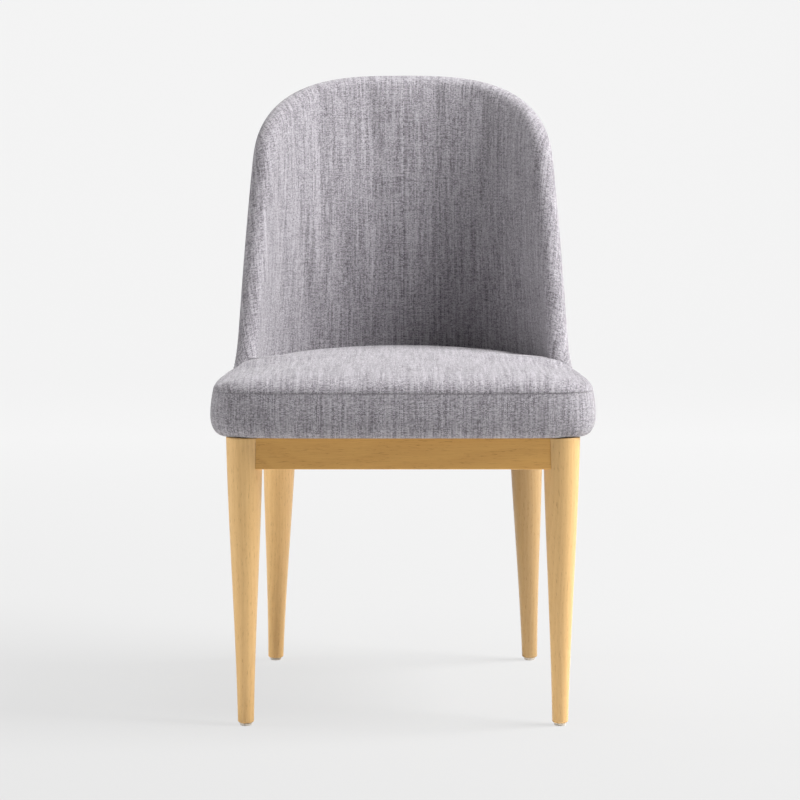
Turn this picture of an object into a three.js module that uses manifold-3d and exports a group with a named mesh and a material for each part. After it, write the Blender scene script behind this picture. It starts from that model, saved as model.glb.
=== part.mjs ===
// An upholstered dining chair: a padded, curved back bolted round a boxed seat, on a frame of rails and
// four turned legs. Millimetres, +Z up. The front faces -Y and +X is to the right as seen from the front.
// Depths are measured back from the front legs' axes until the last step centres the chair.

import * as THREE from 'three';
import { mergeVertices } from 'three/addons/utils/BufferGeometryUtils.js';
import Module from 'manifold-3d';

const wasm = await Module();
wasm.setup();

// Overall sizes
const frameTopHeight = 381;
const seatWidth = 508;
const seatOverhang = 38;
const backTopHeight = 847;

// Legs
const frontLegInset = 48;
const frontLegTopRadius = 24;
const frontLegFootRadius = 10.5;
const rearLegTopInset = 32;
const rearLegFootInset = 21;
const rearLegTopDepth = 375;
const rearLegFootDepth = 458;
const rearLegTopRadius = 25;
const rearLegFootRadius = 11;
const legFootChamfer = 1.5;
const taperEaseShare = 0.5;

// Glides under the legs
const glideHeight = 4;
const glideRadius = 7.8;
const glideRounding = 1.2;
const glideNailRadius = 1.6;
const glideNailLength = 18;

// Rails, their tenons and the blocks in their corners
const railHeight = 41;
const railThickness = 22;
const railSetback = 5.4;
const tenonThickness = 8;
const tenonShoulder = 5.5;
const tenonTipGap = 2;
const blockLength = 78;
const blockHeight = 24;
const blockDrop = 3;
const blockTipDepth = 13;

// Screws and nuts of the frame
const blockScrewRadius = 2;
const blockScrewHeadRadius = 4;
const blockScrewHeadHeight = 2.6;
const blockScrewLength = 22;
const blockScrewReachShare = 0.72;
const blockScrewGrip = 9;
const seatScrewRadius = 2.9;
const seatScrewHeadRadius = 6.5;
const seatScrewHeadHeight = 3;
const seatScrewTipDrop = 3;
const seatScrewReachShare = 0.33;
const seatNutRadius = 4.4;
const seatNutFlangeRadius = 9;
const seatNutFlangeHeight = 1.4;
const seatNutLength = 13;

// Seat
const seatSidePower = 5;
const seatWidestDepth = 90;
const seatSideTaper = 2;
const seatShoulderRadius = 30;
const boardThickness = 18;
const boardEdgeDepth = 20;
const boardRearEdgeDepth = 6;
const ventRadius = 14;
const ventSpacing = 130;
const borderHeight = 61;
const borderWidestShare = 0.4;
const borderFootRoll = 18;
const borderTopRoll = 7;
const seamDraw = 1.5;
const seamRollHeight = 2.6;
const panelRollWidth = 23;
const panelRollHeight = 14;
const panelRollPower = 1.65;
const rearRollWidth = 12;
const seatRearRise = 6;
const seatCrown = 9;
const coverFold = 30;
const rearCoverFold = 12;
const dustCoverThickness = 0.6;

// Back: the outer face's sizes, seen from the front and from above
const backSetIn = 24.2;
const backNarrowing = 21.5;
const backShoulderRise = 297;
const backTaperPower = 1.3;
const backBendRise = 4;
const footFlare = 4;
const footFlareHeight = 20;
const backRearDepth = 460;
const reclineSlope = 0.158;
const reclineBendLength = 120;
const wingEdgeDepth = 247;
const wingSweep = 28;
const wingSweepHeight = 40;
const wingSlope = 0.36;
const backSectionPower = 2.3;
const wingTurnAngle = THREE.MathUtils.degToRad(90);
const wingOpenAngle = THREE.MathUtils.degToRad(32);
const wingOpenHeight = 130;
const domeHeight = 110;
const domePower = 2.9;
const lumbarSwell = 5;

// Back: the layers
const coverThickness = 1.2;
const outerPadThickness = 4;
const shellThickness = 9;
const innerPadThickness = 14;
const footStripHeight = 21;
const padLipThickness = 2;
const padLipShare = 0.2;

// Bolts that hold the back to the seat board
const backBoltRadius = 3;
const backBoltHeadRadius = 7;
const backBoltHeadHeight = 2.4;
const backBoltTipDepth = 46;
const backNutRadius = 5;
const backNutDepth = 34;
const backNutEndGap = 2;

// Fits
const gap = 0.3;
const edgeSetback = 0.4;
const seatToBackGap = 0.6;
const foamEase = 0.3;
const dustCoverEdgeGap = 1;
const boreClearance = 0.4;
const cutOverrun = 5;
const weldDistance = 0.0001;
const slopeStep = 0.001;
const heightStep = 0.5;

// Facets
const legSides = 24;
const legRings = 9;
const glideSides = 16;
const boltSides = 10;
const boreSides = 8;
const ventSides = 16;
const frontOutlineSteps = 11;
const sideOutlineSteps = 3;
const shoulderSteps = 3;
const halfBackColumns = 7;
const wallRows = 6;
const domeRows = 3;
const rimSteps = 4;
const backBoltColumns = [0, 2, 5];
const borderFootSteps = 3;
const borderTopSteps = 2;
const panelRollSteps = 3;
const crownRings = 2;

// Heights and depths that follow from the sizes above
const seatBottomHeight = frameTopHeight + gap;
const boardBottomHeight = seatBottomHeight + coverThickness + gap;
const boardTopHeight = boardBottomHeight + boardThickness;
const seamHeight = seatBottomHeight + borderHeight;
const seatHalfWidth = seatWidth / 2;
const frontLegSpacing = seatWidth - 2 * frontLegInset;
const rearLegTopSpacing = frontLegSpacing - 2 * rearLegTopInset;
const rearLegFootSpacing = frontLegSpacing - 2 * rearLegFootInset;
const legLength = frameTopHeight - glideHeight;
const backFootHeight = seatBottomHeight + gap;
const footStripTopHeight = backFootHeight + footStripHeight;
const backBendHeight = seamHeight + backBendRise;
const backHalfWidthAtSeat = seatHalfWidth - backSetIn;
const backHalfWidthAtShoulder = backHalfWidthAtSeat - backNarrowing;
const outerPadDepth = coverThickness + gap;
const shellDepth = outerPadDepth + outerPadThickness + gap;
const innerPadDepth = shellDepth + shellThickness + gap;
const innerCoverDepth = innerPadDepth + innerPadThickness + gap;
const backThickness = innerCoverDepth + coverThickness;
const noseRadius = backThickness / 2;
const crestHeight = backTopHeight - noseRadius * (1 + reclineSlope);
const domeBaseHeight = crestHeight - domeHeight;
const backBoltHeight = boardBottomHeight + boardThickness / 2;

// Finishes: colour, roughness and metalness
const finishes = {
  wood: ['#cda56e', 0.55, 0],
  plywood: ['#c8ab7d', 0.7, 0],
  fabric: ['#a7a0a8', 0.95, 0],
  foam: ['#e9e3d2', 0.9, 0],
  dustCloth: ['#1d1d1f', 0.95, 0],
  steel: ['#b9bcc0', 0.35, 1],
  nylon: ['#e6e2da', 0.45, 0],
};

const across = (a, b, share) => a + (b - a) * share;
const up = new THREE.Vector3(0, 0, 1);
const ahead = new THREE.Vector3(0, 1, 0);
const sides = [['left', -1], ['right', 1]];

// Mesh and solid helpers

function signedVolume(geometry) {
  const corners = [new THREE.Vector3(), new THREE.Vector3(), new THREE.Vector3()];
  const index = geometry.index.array;
  let sum = 0;
  for (let start = 0; start < index.length; start += 3) {
    corners.forEach((corner, k) => corner.fromBufferAttribute(geometry.attributes.position, index[start + k]));
    sum += corners[0].dot(corners[1].clone().cross(corners[2]));
  }
  return sum;
}

// One closed skin with shared vertices, no slivers of zero area, and its faces pointing out.
function closedSkin(geometry) {
  const bare = geometry.clone();
  Object.keys(bare.attributes).filter((name) => name !== 'position').forEach((name) => bare.deleteAttribute(name));
  const merged = mergeVertices(bare, weldDistance);
  const source = merged.index.array;
  const index = [];
  for (let start = 0; start < source.length; start += 3) {
    const [a, b, c] = source.slice(start, start + 3);
    if (a !== b && b !== c && c !== a) index.push(a, b, c);
  }
  merged.setIndex(index);
  if (signedVolume(merged) < 0) merged.setIndex(index.reverse());
  return merged;
}

function toSolid(geometry) {
  const skin = closedSkin(geometry);
  return new wasm.Manifold(new wasm.Mesh({
    numProp: 3,
    vertProperties: new Float32Array(skin.attributes.position.array),
    triVerts: new Uint32Array(skin.index.array),
  }));
}

function toGeometry(solid) {
  const mesh = solid.getMesh();
  const geometry = new THREE.BufferGeometry();
  geometry.setAttribute('position', new THREE.BufferAttribute(mesh.vertProperties, mesh.numProp));
  geometry.setIndex(new THREE.BufferAttribute(mesh.triVerts, 1));
  return geometry;
}

// The geometry with every cutter taken away from it.
function cut(geometry, cutters) {
  let solid = toSolid(geometry);
  for (const cutter of cutters) solid = solid.subtract(toSolid(cutter));
  return toGeometry(solid);
}

function join(...geometries) {
  return toGeometry(geometries.map(toSolid).reduce((whole, part) => whole.add(part)));
}

function piece(name, geometry, finish) {
  const [color, roughness, metalness] = finishes[finish];
  const flat = closedSkin(geometry).toNonIndexed();
  flat.computeVertexNormals();
  const mesh = new THREE.Mesh(flat, new THREE.MeshStandardMaterial({ color, roughness, metalness }));
  mesh.name = name;
  return mesh;
}

function geometryFrom(points, triangles) {
  const geometry = new THREE.BufferGeometry().setFromPoints(points);
  geometry.setIndex(triangles);
  return geometry;
}

// Puts a piece or a geometry that was drawn along +Y with its origin at a point, along a direction.
function alongMatrix(origin, direction) {
  const turn = new THREE.Quaternion().setFromUnitVectors(ahead, direction.clone().normalize());
  return new THREE.Matrix4().compose(origin, turn, new THREE.Vector3(1, 1, 1));
}

function placed(mesh, origin, direction) {
  mesh.position.copy(origin);
  mesh.quaternion.setFromUnitVectors(ahead, direction.clone().normalize());
  return mesh;
}

function turned(profile, count = boltSides) {
  return new THREE.LatheGeometry(profile.map(([radius, height]) => new THREE.Vector2(radius, height)), count);
}

// A round bore from a point along a direction, with its flats at the radius.
function bore(radius, origin, direction, length, count = boreSides) {
  const reach = radius / Math.cos(Math.PI / count);
  const profile = [[0, 0], [reach, 0], [reach, length], [0, length]];
  return turned(profile, count).applyMatrix4(alongMatrix(origin, direction));
}

// A level slab of an outline between two heights.
function slab(outline, bottom, top) {
  const shape = new THREE.Shape(outline.map(([x, y]) => new THREE.Vector2(x, y)));
  const geometry = new THREE.ExtrudeGeometry(shape, { depth: top - bottom, bevelEnabled: false });
  return geometry.translate(0, 0, bottom);
}

// Legs

function legRadius(share, topRadius, footRadius) {
  const eased = share * share * (3 - 2 * share);
  return across(footRadius, topRadius, across(share, eased, taperEaseShare));
}

// The turned shape of a leg from its foot to its top, drawn on past both ends by an overrun.
function legTurning(topRadius, footRadius, length, overrun, extra = 0) {
  const profile = [[0, -overrun], [footRadius + extra, -overrun]];
  for (let ring = 0; ring <= legRings; ring += 1) {
    const share = ring / legRings;
    profile.push([legRadius(share, topRadius, footRadius) + extra, length * share]);
  }
  profile.push([topRadius + extra, length + overrun], [0, length + overrun]);
  return turned(profile, legSides);
}

function legEnds(front, side) {
  const topSpacing = front ? frontLegSpacing : rearLegTopSpacing;
  const footSpacing = front ? frontLegSpacing : rearLegFootSpacing;
  return {
    top: new THREE.Vector3(side * topSpacing / 2, front ? 0 : rearLegTopDepth, frameTopHeight),
    foot: new THREE.Vector3(side * footSpacing / 2, front ? 0 : rearLegFootDepth, glideHeight),
    topRadius: front ? frontLegTopRadius : rearLegTopRadius,
    footRadius: front ? frontLegFootRadius : rearLegFootRadius,
  };
}

// A leg's blank, longer than the leg at both ends and thicker by an extra amount.
function legBlank(leg, extra) {
  const run = leg.top.clone().sub(leg.foot);
  const blank = legTurning(leg.topRadius, leg.footRadius, run.length(), cutOverrun * 2, extra);
  return blank.applyMatrix4(alongMatrix(leg.foot, run));
}

function axisAt(leg, height) {
  return leg.foot.clone().lerp(leg.top, (height - glideHeight) / legLength);
}

// The leg between its level ends, with a chamfered foot, mortises and the nail's bore.
function legGeometry(leg, tenons) {
  const reach = leg.foot.distanceTo(leg.top) * 2;
  const room = new THREE.BoxGeometry(reach, reach, legLength);
  room.translate(leg.foot.x, leg.foot.y, glideHeight + legLength / 2);
  const body = toSolid(legBlank(leg, 0)).intersect(toSolid(room));
  const chamferTop = leg.footRadius + cutOverrun;
  const ring = turned([
    [leg.footRadius - legFootChamfer, -cutOverrun], [leg.footRadius - legFootChamfer, 0],
    [chamferTop, chamferTop - leg.footRadius + legFootChamfer], [chamferTop + cutOverrun, -cutOverrun],
    [leg.footRadius - legFootChamfer, -cutOverrun],
  ], legSides).applyMatrix4(alongMatrix(leg.foot, up));
  const nail = bore(glideNailRadius + boreClearance, leg.foot.clone().addScaledVector(up, -cutOverrun), up,
    glideNailLength + cutOverrun + boreClearance);
  return cut(toGeometry(body), [ring, nail, ...tenons]);
}

function glideGeometry() {
  return turned([
    [0, 0], [glideRadius - glideRounding, 0], [glideRadius, glideRounding], [glideRadius, glideHeight - gap],
    [glideNailRadius, glideHeight - gap], [glideNailRadius, glideHeight + glideNailLength - glideNailRadius],
    [0, glideHeight + glideNailLength],
  ], glideSides);
}

// Rails

// A level bar from one point to another, centred on the line between them.
function bar(start, end, thickness, bottom, top) {
  const run = end.clone().sub(start).setZ(0);
  const box = new THREE.BoxGeometry(run.length(), thickness, top - bottom);
  box.rotateZ(Math.atan2(run.y, run.x));
  const middle = start.clone().lerp(end, 1 / 2);
  return box.translate(middle.x, middle.y, (top + bottom) / 2);
}

const railBottomHeight = frameTopHeight - railHeight;
const railMiddleHeight = frameTopHeight - railHeight / 2;
const legs = {};
for (const [sideName, side] of sides) {
  legs[`front_${sideName}`] = legEnds(true, side);
  legs[`rear_${sideName}`] = legEnds(false, side);
}

// A rail runs between two legs, off their axes by an outward offset so that it lies near their outer sides.
function railLine(startLeg, endLeg, outward) {
  const start = axisAt(legs[startLeg], railMiddleHeight);
  const end = axisAt(legs[endLeg], railMiddleHeight);
  const offset = legs[startLeg].topRadius - railSetback - railThickness / 2;
  start.addScaledVector(outward, offset);
  end.addScaledVector(outward, offset);
  const direction = end.clone().sub(start).normalize();
  return { start, end, direction, outward, legNames: [startLeg, endLeg] };
}

const railLines = {
  front_rail: railLine('front_left', 'front_right', new THREE.Vector3(0, -1, 0)),
  rear_rail: railLine('rear_left', 'rear_right', new THREE.Vector3(0, 1, 0)),
  left_rail: railLine('front_left', 'rear_left', new THREE.Vector3(-1, 0, 0)),
  right_rail: railLine('front_right', 'rear_right', new THREE.Vector3(1, 0, 0)),
};

// The rail's tenon bar, from tip to tip. A clearance of more than zero gives the mortises' cutter.
function tenonBar(line, clearance) {
  const inset = tenonTipGap - clearance;
  const start = line.start.clone().addScaledVector(line.direction, inset);
  const end = line.end.clone().addScaledVector(line.direction, -inset);
  const bottom = railBottomHeight + tenonShoulder - clearance;
  const top = frameTopHeight - tenonShoulder + clearance;
  return bar(start, end, tenonThickness + 2 * clearance, bottom, top);
}

function railGeometry(line, bores) {
  const blank = bar(line.start, line.end, railThickness, railBottomHeight, frameTopHeight);
  const shoulders = line.legNames.map((name) => legBlank(legs[name], gap));
  return cut(join(cut(blank, shoulders), tenonBar(line, 0)), bores);
}

// Corner blocks

// Where the inner faces of two rails would meet, and the directions in which they leave that corner.
function innerCorner(legName) {
  const meeting = Object.values(railLines).filter((line) => line.legNames.includes(legName));
  const faces = meeting.map((line) => {
    const away = line.direction.clone().multiplyScalar(line.legNames[0] === legName ? 1 : -1);
    const inward = new THREE.Vector3().crossVectors(up, line.direction);
    if (inward.dot(line.outward) > 0) inward.negate();
    const point = line.start.clone().addScaledVector(inward, railThickness / 2 + gap);
    return { away, inward, point };
  });
  const [first, second] = faces;
  const between = second.point.clone().sub(first.point);
  const reach = between.dot(second.inward) / first.away.dot(second.inward);
  const corner = first.point.clone().addScaledVector(first.away, reach).setZ(0);
  return { corner, faces };
}

const blockTopHeight = frameTopHeight - blockDrop;
const blockBottomHeight = blockTopHeight - blockHeight;

// The block's outline, cut off where its tips would be thin.
function blockOutline({ corner, faces }) {
  const [first, second] = faces;
  const tipLength = blockLength - blockTipDepth;
  const at = (a, b) => corner.clone().addScaledVector(first.away, a).addScaledVector(second.away, b);
  return [at(0, 0), at(blockLength, 0), at(tipLength, blockTipDepth), at(blockTipDepth, tipLength), at(0, blockLength)]
    .map((point) => [point.x, point.y]);
}

function blockScrews({ corner, faces }) {
  return faces.map(({ away, inward }) => {
    const reach = blockLength * blockScrewReachShare;
    const seat = corner.clone().addScaledVector(away, reach).addScaledVector(inward, blockScrewGrip);
    return { seat: seat.setZ((blockTopHeight + blockBottomHeight) / 2), direction: inward.clone().negate() };
  });
}

function blockScrewGeometry() {
  return turned([
    [0, -blockScrewHeadHeight], [blockScrewHeadRadius, -blockScrewHeadHeight], [blockScrewHeadRadius, 0],
    [blockScrewRadius, 0], [blockScrewRadius, blockScrewLength - blockScrewRadius * 2], [0, blockScrewLength],
  ]);
}

function seatScrewPlace({ corner, faces }) {
  const reach = blockLength * seatScrewReachShare;
  const middle = corner.clone().addScaledVector(faces[0].away, reach).addScaledVector(faces[1].away, reach);
  return middle.setZ(blockBottomHeight - gap);
}

function seatScrewGeometry() {
  const tip = boardTopHeight - seatScrewTipDrop - blockBottomHeight;
  return turned([
    [0, -seatScrewHeadHeight], [seatScrewHeadRadius, -seatScrewHeadHeight], [seatScrewHeadRadius, 0],
    [seatScrewRadius, 0], [seatScrewRadius, tip], [0, tip],
  ]);
}

// A flanged nut drawn down from its flange's top face.
function seatNutGeometry() {
  const boreRadius = seatScrewRadius + boreClearance;
  return turned([
    [boreRadius, 0], [boreRadius, seatNutLength], [seatNutRadius, seatNutLength],
    [seatNutRadius, seatNutFlangeHeight], [seatNutFlangeRadius, seatNutFlangeHeight], [seatNutFlangeRadius, 0],
    [boreRadius, 0],
  ]);
}

function blockGeometry(corner, legName) {
  const screws = blockScrews(corner);
  const pockets = screws.map(({ seat, direction }) => (
    bore(blockScrewHeadRadius + boreClearance, seat.clone().addScaledVector(direction, gap),
      direction.clone().negate(), blockLength)));
  const shanks = screws.map(({ seat, direction }) => (
    bore(blockScrewRadius + boreClearance, seat, direction, blockLength)));
  const seatScrew = bore(seatScrewRadius + boreClearance, seatScrewPlace(corner).setZ(0), up, frameTopHeight);
  const blank = slab(blockOutline(corner), blockBottomHeight, blockTopHeight);
  return cut(blank, [legBlank(legs[legName], gap), ...pockets, ...shanks, seatScrew]);
}

// Shape of the back

// A share of the way round a rounded-square section, for the sideways and the depthwise place.
const sideways = (angle) => Math.sin(angle) ** (2 / backSectionPower);
const depthwise = (angle) => Math.max(Math.cos(angle), 0) ** (2 / backSectionPower);

function backSection(height) {
  const rise = Math.max(height - backBendHeight, 0);
  const share = rise / backShoulderRise;
  const half = across(backHalfWidthAtSeat, backHalfWidthAtShoulder, share ** backTaperPower)
    + footFlare * Math.exp(-rise / footFlareHeight);
  const bent = Math.min(rise, reclineBendLength);
  const rear = backRearDepth + reclineSlope * (bent * bent / (2 * reclineBendLength) + rise - bent);
  const sweep = wingSweep * (1 - Math.exp(-rise / wingSweepHeight));
  const edge = wingEdgeDepth + sweep + wingSlope * rise;
  const spread = wingTurnAngle - wingOpenAngle * (1 - Math.exp(-rise / wingOpenHeight));
  return { half, rear, edge, spread };
}

// A point of the outer face. The turn goes from -1 at the left wing's edge to 1 at the right one's.
function outerFacePoint(turn, height) {
  const { half, rear, edge, spread } = backSection(height);
  const angle = Math.abs(turn) * spread;
  const x = Math.sign(turn) * half * sideways(angle) / sideways(spread);
  const y = rear - (rear - edge) * (1 - depthwise(angle)) / (1 - depthwise(spread));
  return new THREE.Vector3(x, y, height);
}

// The direction out of the back's outer face.
function outward(turn, height) {
  const low = Math.max(turn - slopeStep, -1);
  const high = Math.min(turn + slopeStep, 1);
  const round = outerFacePoint(high, height).sub(outerFacePoint(low, height));
  const rise = outerFacePoint(turn, height + heightStep).sub(outerFacePoint(turn, height - heightStep));
  return rise.cross(round).normalize();
}

// The rounded top outline, from 0 where it leaves the straight side to a right angle at the crest.
function domePlace(angle) {
  const widthShare = Math.max(Math.cos(angle), 0) ** (2 / domePower);
  const height = domeBaseHeight + domeHeight * Math.sin(angle) ** (2 / domePower);
  const { spread } = backSection(height);
  const sine = (widthShare * sideways(spread)) ** (backSectionPower / 2);
  return { turn: Math.asin(Math.min(sine, 1)) / spread, height };
}

const crestAngle = Math.PI / 2;
const cornerAngle = crestAngle / 2;
const domeCorner = domePlace(cornerAngle);

// Places up the side edge where a row of the back's grid starts.
function sideStations(bottomHeight) {
  const stations = [{ turn: 1, height: bottomHeight }];
  if (bottomHeight < footStripTopHeight) stations.push({ turn: 1, height: footStripTopHeight + gap });
  for (let row = 0; row <= wallRows; row += 1) {
    stations.push({ turn: 1, height: across(backBendHeight, domeBaseHeight, row / wallRows) });
  }
  for (let row = 1; row <= domeRows; row += 1) stations.push(domePlace(cornerAngle * row / domeRows));
  return stations;
}

// A grid place: rows start level at the foot and bend into the dome's outline at the top.
function gridPlace(station, side) {
  const u = Math.abs(side);
  const share = (station.height - backFootHeight) / (domeCorner.height - backFootHeight);
  const crest = domePlace(across(crestAngle, cornerAngle, u));
  const turn = u * station.turn + share * (crest.turn - u * domeCorner.turn);
  const middleHeight = across(backFootHeight, crestHeight, share);
  const straightCrest = across(crestHeight, domeCorner.height, u);
  const height = across(middleHeight, station.height, u) + share * (crest.height - straightCrest);
  return { turn: Math.sign(side) * turn, height };
}

// The back's grid with each place's point, outward direction and swell, and the loop round its free edge.
function backGrid(bottomHeight) {
  const stations = sideStations(bottomHeight);
  const columns = halfBackColumns * 2 + 1;
  const places = [];
  for (const station of stations) {
    for (let column = 0; column < columns; column += 1) {
      const { turn, height } = gridPlace(station, column / halfBackColumns - 1);
      const climb = Math.max(height - backBendHeight, 0) / (crestHeight - backBendHeight);
      places.push({
        point: outerFacePoint(turn, height),
        out: outward(turn, height),
        swell: lumbarSwell * Math.sin(Math.PI * Math.min(climb, 1)) ** 2 * (1 - turn * turn),
      });
    }
  }
  const at = (row, column) => row * columns + column;
  const quads = [];
  for (let row = 0; row + 1 < stations.length; row += 1) {
    for (let column = 0; column + 1 < columns; column += 1) {
      quads.push([at(row, column), at(row, column + 1), at(row + 1, column + 1), at(row + 1, column)]);
    }
  }
  const lastRow = stations.length - 1;
  const loop = [];
  for (let row = 0; row <= lastRow; row += 1) loop.push(at(row, 0));
  for (let column = 1; column < columns; column += 1) loop.push(at(lastRow, column));
  for (let row = lastRow - 1; row >= 0; row -= 1) loop.push(at(row, columns - 1));
  loop.forEach((index, step) => {
    const before = places[loop[Math.max(step - 1, 0)]].point;
    const after = places[loop[Math.min(step + 1, loop.length - 1)]].point;
    places[index].edge = after.clone().sub(before).cross(places[index].out).normalize();
  });
  return { places, quads, loop };
}

// A closed solid between two skins that share one set of quads.
function closedSheet(quads, outer, inner) {
  const triangles = [];
  const shift = outer.length;
  const edges = new Set();
  for (const [a, b, c, d] of quads) {
    triangles.push(a, b, c, a, c, d, shift + a, shift + c, shift + b, shift + a, shift + d, shift + c);
    for (const [from, to] of [[a, b], [b, c], [c, d], [d, a]]) edges.add(`${from} ${to}`);
  }
  for (const edge of edges) {
    const [from, to] = edge.split(' ').map(Number);
    if (edges.has(`${to} ${from}`)) continue;
    triangles.push(to, from, shift + from, to, shift + from, shift + to);
  }
  return geometryFrom([...outer, ...inner], triangles);
}

// A layer between two depths below the outer face, square at its edge and held back from the rim.
function plainLayer(bottomHeight, depth, thickness) {
  const { places, quads } = backGrid(bottomHeight);
  const skin = (inward) => places.map(({ point, out, edge }) => {
    const held = point.clone().addScaledVector(out, -inward);
    return edge ? held.addScaledVector(edge, -edgeSetback) : held;
  });
  return closedSheet(quads, skin(depth), skin(depth + thickness));
}

// A point of the rolled rim, from 0 at the inner face to a half turn at the outer face.
function rimPoint({ point, out, edge }, radius, angle) {
  const centre = point.clone().addScaledVector(out, -noseRadius);
  return centre.addScaledVector(out, -radius * Math.cos(angle)).addScaledVector(edge, radius * Math.sin(angle));
}

// A layer on the inner face that is drawn round the rim. Each skin gives its face depth and its rim points.
function rimmedLayer(bottomHeight, skins) {
  const { places, quads, loop } = backGrid(bottomHeight);
  const allQuads = [...quads];
  const at = (step, ring) => (ring === 0 ? loop[step] : places.length + (ring - 1) * loop.length + step);
  for (let step = 0; step + 1 < loop.length; step += 1) {
    for (let ring = 0; ring < rimSteps; ring += 1) {
      allQuads.push([at(step, ring), at(step + 1, ring), at(step + 1, ring + 1), at(step, ring + 1)]);
    }
  }
  const points = skins.map(({ depth, swells, rim }) => {
    const skin = places.map(({ point, out, swell }) => (
      point.clone().addScaledVector(out, -depth - (swells ? swell : 0))));
    for (let ring = 1; ring <= rimSteps; ring += 1) {
      for (const index of loop) skin.push(rim(places[index], ring / rimSteps));
    }
    return skin;
  });
  return closedSheet(allQuads, points[0], points[1]);
}

function innerCoverGeometry() {
  const skin = (depth, radius) => ({
    depth, swells: true, rim: (place, share) => rimPoint(place, radius, Math.PI * share),
  });
  return rimmedLayer(backFootHeight, [
    skin(innerCoverDepth, noseRadius - coverThickness),
    skin(backThickness, noseRadius),
  ]);
}

const padNoseRadius = noseRadius - coverThickness - gap - foamEase;

// The inner pad's rim lies against the ends of the shell and the outer pad.
function padRimBacking({ point, out, edge }, share) {
  const depth = across(innerPadDepth, outerPadDepth + padLipThickness, share);
  return point.clone().addScaledVector(out, -depth).addScaledVector(edge, gap);
}

// The pad's rolled rim, which stops a little short of the outer face.
function padRim(place, share) {
  const rolled = rimPoint(place, padNoseRadius, Math.PI * share);
  if (share < 1) return rolled;
  return rolled.lerp(rimPoint(place, padNoseRadius, Math.PI * (rimSteps - 1) / rimSteps), padLipShare);
}

function innerPadGeometry() {
  return rimmedLayer(footStripTopHeight + gap, [
    { depth: innerPadDepth, swells: false, rim: padRimBacking },
    {
      depth: innerPadDepth + innerPadThickness,
      swells: true,
      rim: padRim,
    },
  ]);
}

// Places along the foot of the back, where its section doesn't change.
function footPlaces() {
  const places = [];
  for (let column = -halfBackColumns; column <= halfBackColumns; column += 1) {
    const turn = column / halfBackColumns;
    const out = outward(turn, backFootHeight);
    places.push({ turn, point: outerFacePoint(turn, backFootHeight), out, edge: new THREE.Vector3(0, -1, 0) });
  }
  return places;
}

// The strip that fills the pad's place beside the seat board, so that the bolts pull on wood.
function footStripGeometry() {
  const places = footPlaces();
  const flat = (point) => [point.x, point.y];
  const face = (depth) => places.map(({ point, out }) => flat(point.clone().addScaledVector(out, -depth)));
  const nose = (place) => {
    const points = [];
    for (let ring = 1; ring <= rimSteps; ring += 1) points.push(flat(padRim(place, ring / rimSteps)));
    points.push(flat(padRimBacking(place, 1)));
    points.push(flat(padRimBacking(place, 0)));
    return points;
  };
  const first = places[0];
  const last = places[places.length - 1];
  const outline = [...face(innerPadDepth + innerPadThickness), ...nose(last),
    ...face(innerPadDepth).reverse(), ...nose(first).reverse()];
  return slab(outline, backFootHeight, footStripTopHeight);
}

// Shape of the seat

// The right half of the seat's outline seen from above, from the front's middle to the rear's.
function halfSeatOutline() {
  const reach = seatWidestDepth + seatOverhang;
  const front = [];
  const fineSteps = frontOutlineSteps * 8;
  for (let step = 0; step <= fineSteps; step += 1) {
    const angle = (Math.PI / 2) * (step / fineSteps);
    const x = seatHalfWidth * Math.sin(angle) ** (2 / seatSidePower);
    const y = seatWidestDepth - reach * Math.max(Math.cos(angle), 0) ** (2 / seatSidePower);
    front.push(new THREE.Vector2(x, y));
  }
  const points = new THREE.SplineCurve(front).getSpacedPoints(frontOutlineSteps)
    .map(({ x, y }) => ({ x, y, fullness: 1 }));

  const wing = footPlaces()[halfBackColumns * 2];
  const wingCentre = wing.point.clone().addScaledVector(wing.out, -noseRadius);
  const noseReach = noseRadius + seatToBackGap;
  const shoulderX = seatHalfWidth - seatSideTaper - seatShoulderRadius;
  const shoulderY = wingCentre.y - noseReach - seatShoulderRadius;
  for (let step = 1; step <= sideOutlineSteps; step += 1) {
    const share = step / sideOutlineSteps;
    points.push({
      x: seatHalfWidth - seatSideTaper * share * share, y: across(seatWidestDepth, shoulderY, share), fullness: 1,
    });
  }
  for (let step = 1; step <= shoulderSteps; step += 1) {
    const angle = (Math.PI / 2) * (step / shoulderSteps);
    points.push({
      x: shoulderX + seatShoulderRadius * Math.cos(angle), y: shoulderY + seatShoulderRadius * Math.sin(angle),
      fullness: 1 - step / shoulderSteps, nook: true,
    });
  }
  for (let step = rimSteps / 2; step > 0; step -= 1) {
    const hug = rimPoint(wing, noseReach, Math.PI * step / rimSteps);
    points.push({ x: hug.x, y: hug.y, fullness: 0, nook: step === rimSteps / 2 });
  }
  for (const { point, out } of footPlaces().slice(halfBackColumns).reverse()) {
    const hug = point.clone().addScaledVector(out, -backThickness - seatToBackGap);
    points.push({ x: hug.x, y: hug.y, fullness: 0 });
  }
  return points;
}

// The whole outline, anticlockwise, with each point's inward direction.
function seatOutline() {
  const half = halfSeatOutline();
  const mirrored = half.slice(1, -1).reverse().map((point) => ({ ...point, x: -point.x }));
  const points = [...half, ...mirrored];
  const unit = (from, to) => new THREE.Vector2(to.x - from.x, to.y - from.y).normalize();
  points.forEach((point, index) => {
    const before = points[(index + points.length - 1) % points.length];
    const after = points[(index + 1) % points.length];
    const run = unit(before, point).add(unit(point, after)).normalize();
    point.inward = new THREE.Vector2(-run.y, run.x);
  });
  return points;
}

const outline = seatOutline();
const seatRearDepth = Math.max(...outline.map(({ y }) => y));
const seatCentre = new THREE.Vector2(0, (seatRearDepth - seatOverhang) / 2);

// How far in the border's fold reaches under the board.
const foldInset = ({ fullness }) => across(rearCoverFold, borderFootRoll + coverFold, fullness * fullness);

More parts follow.
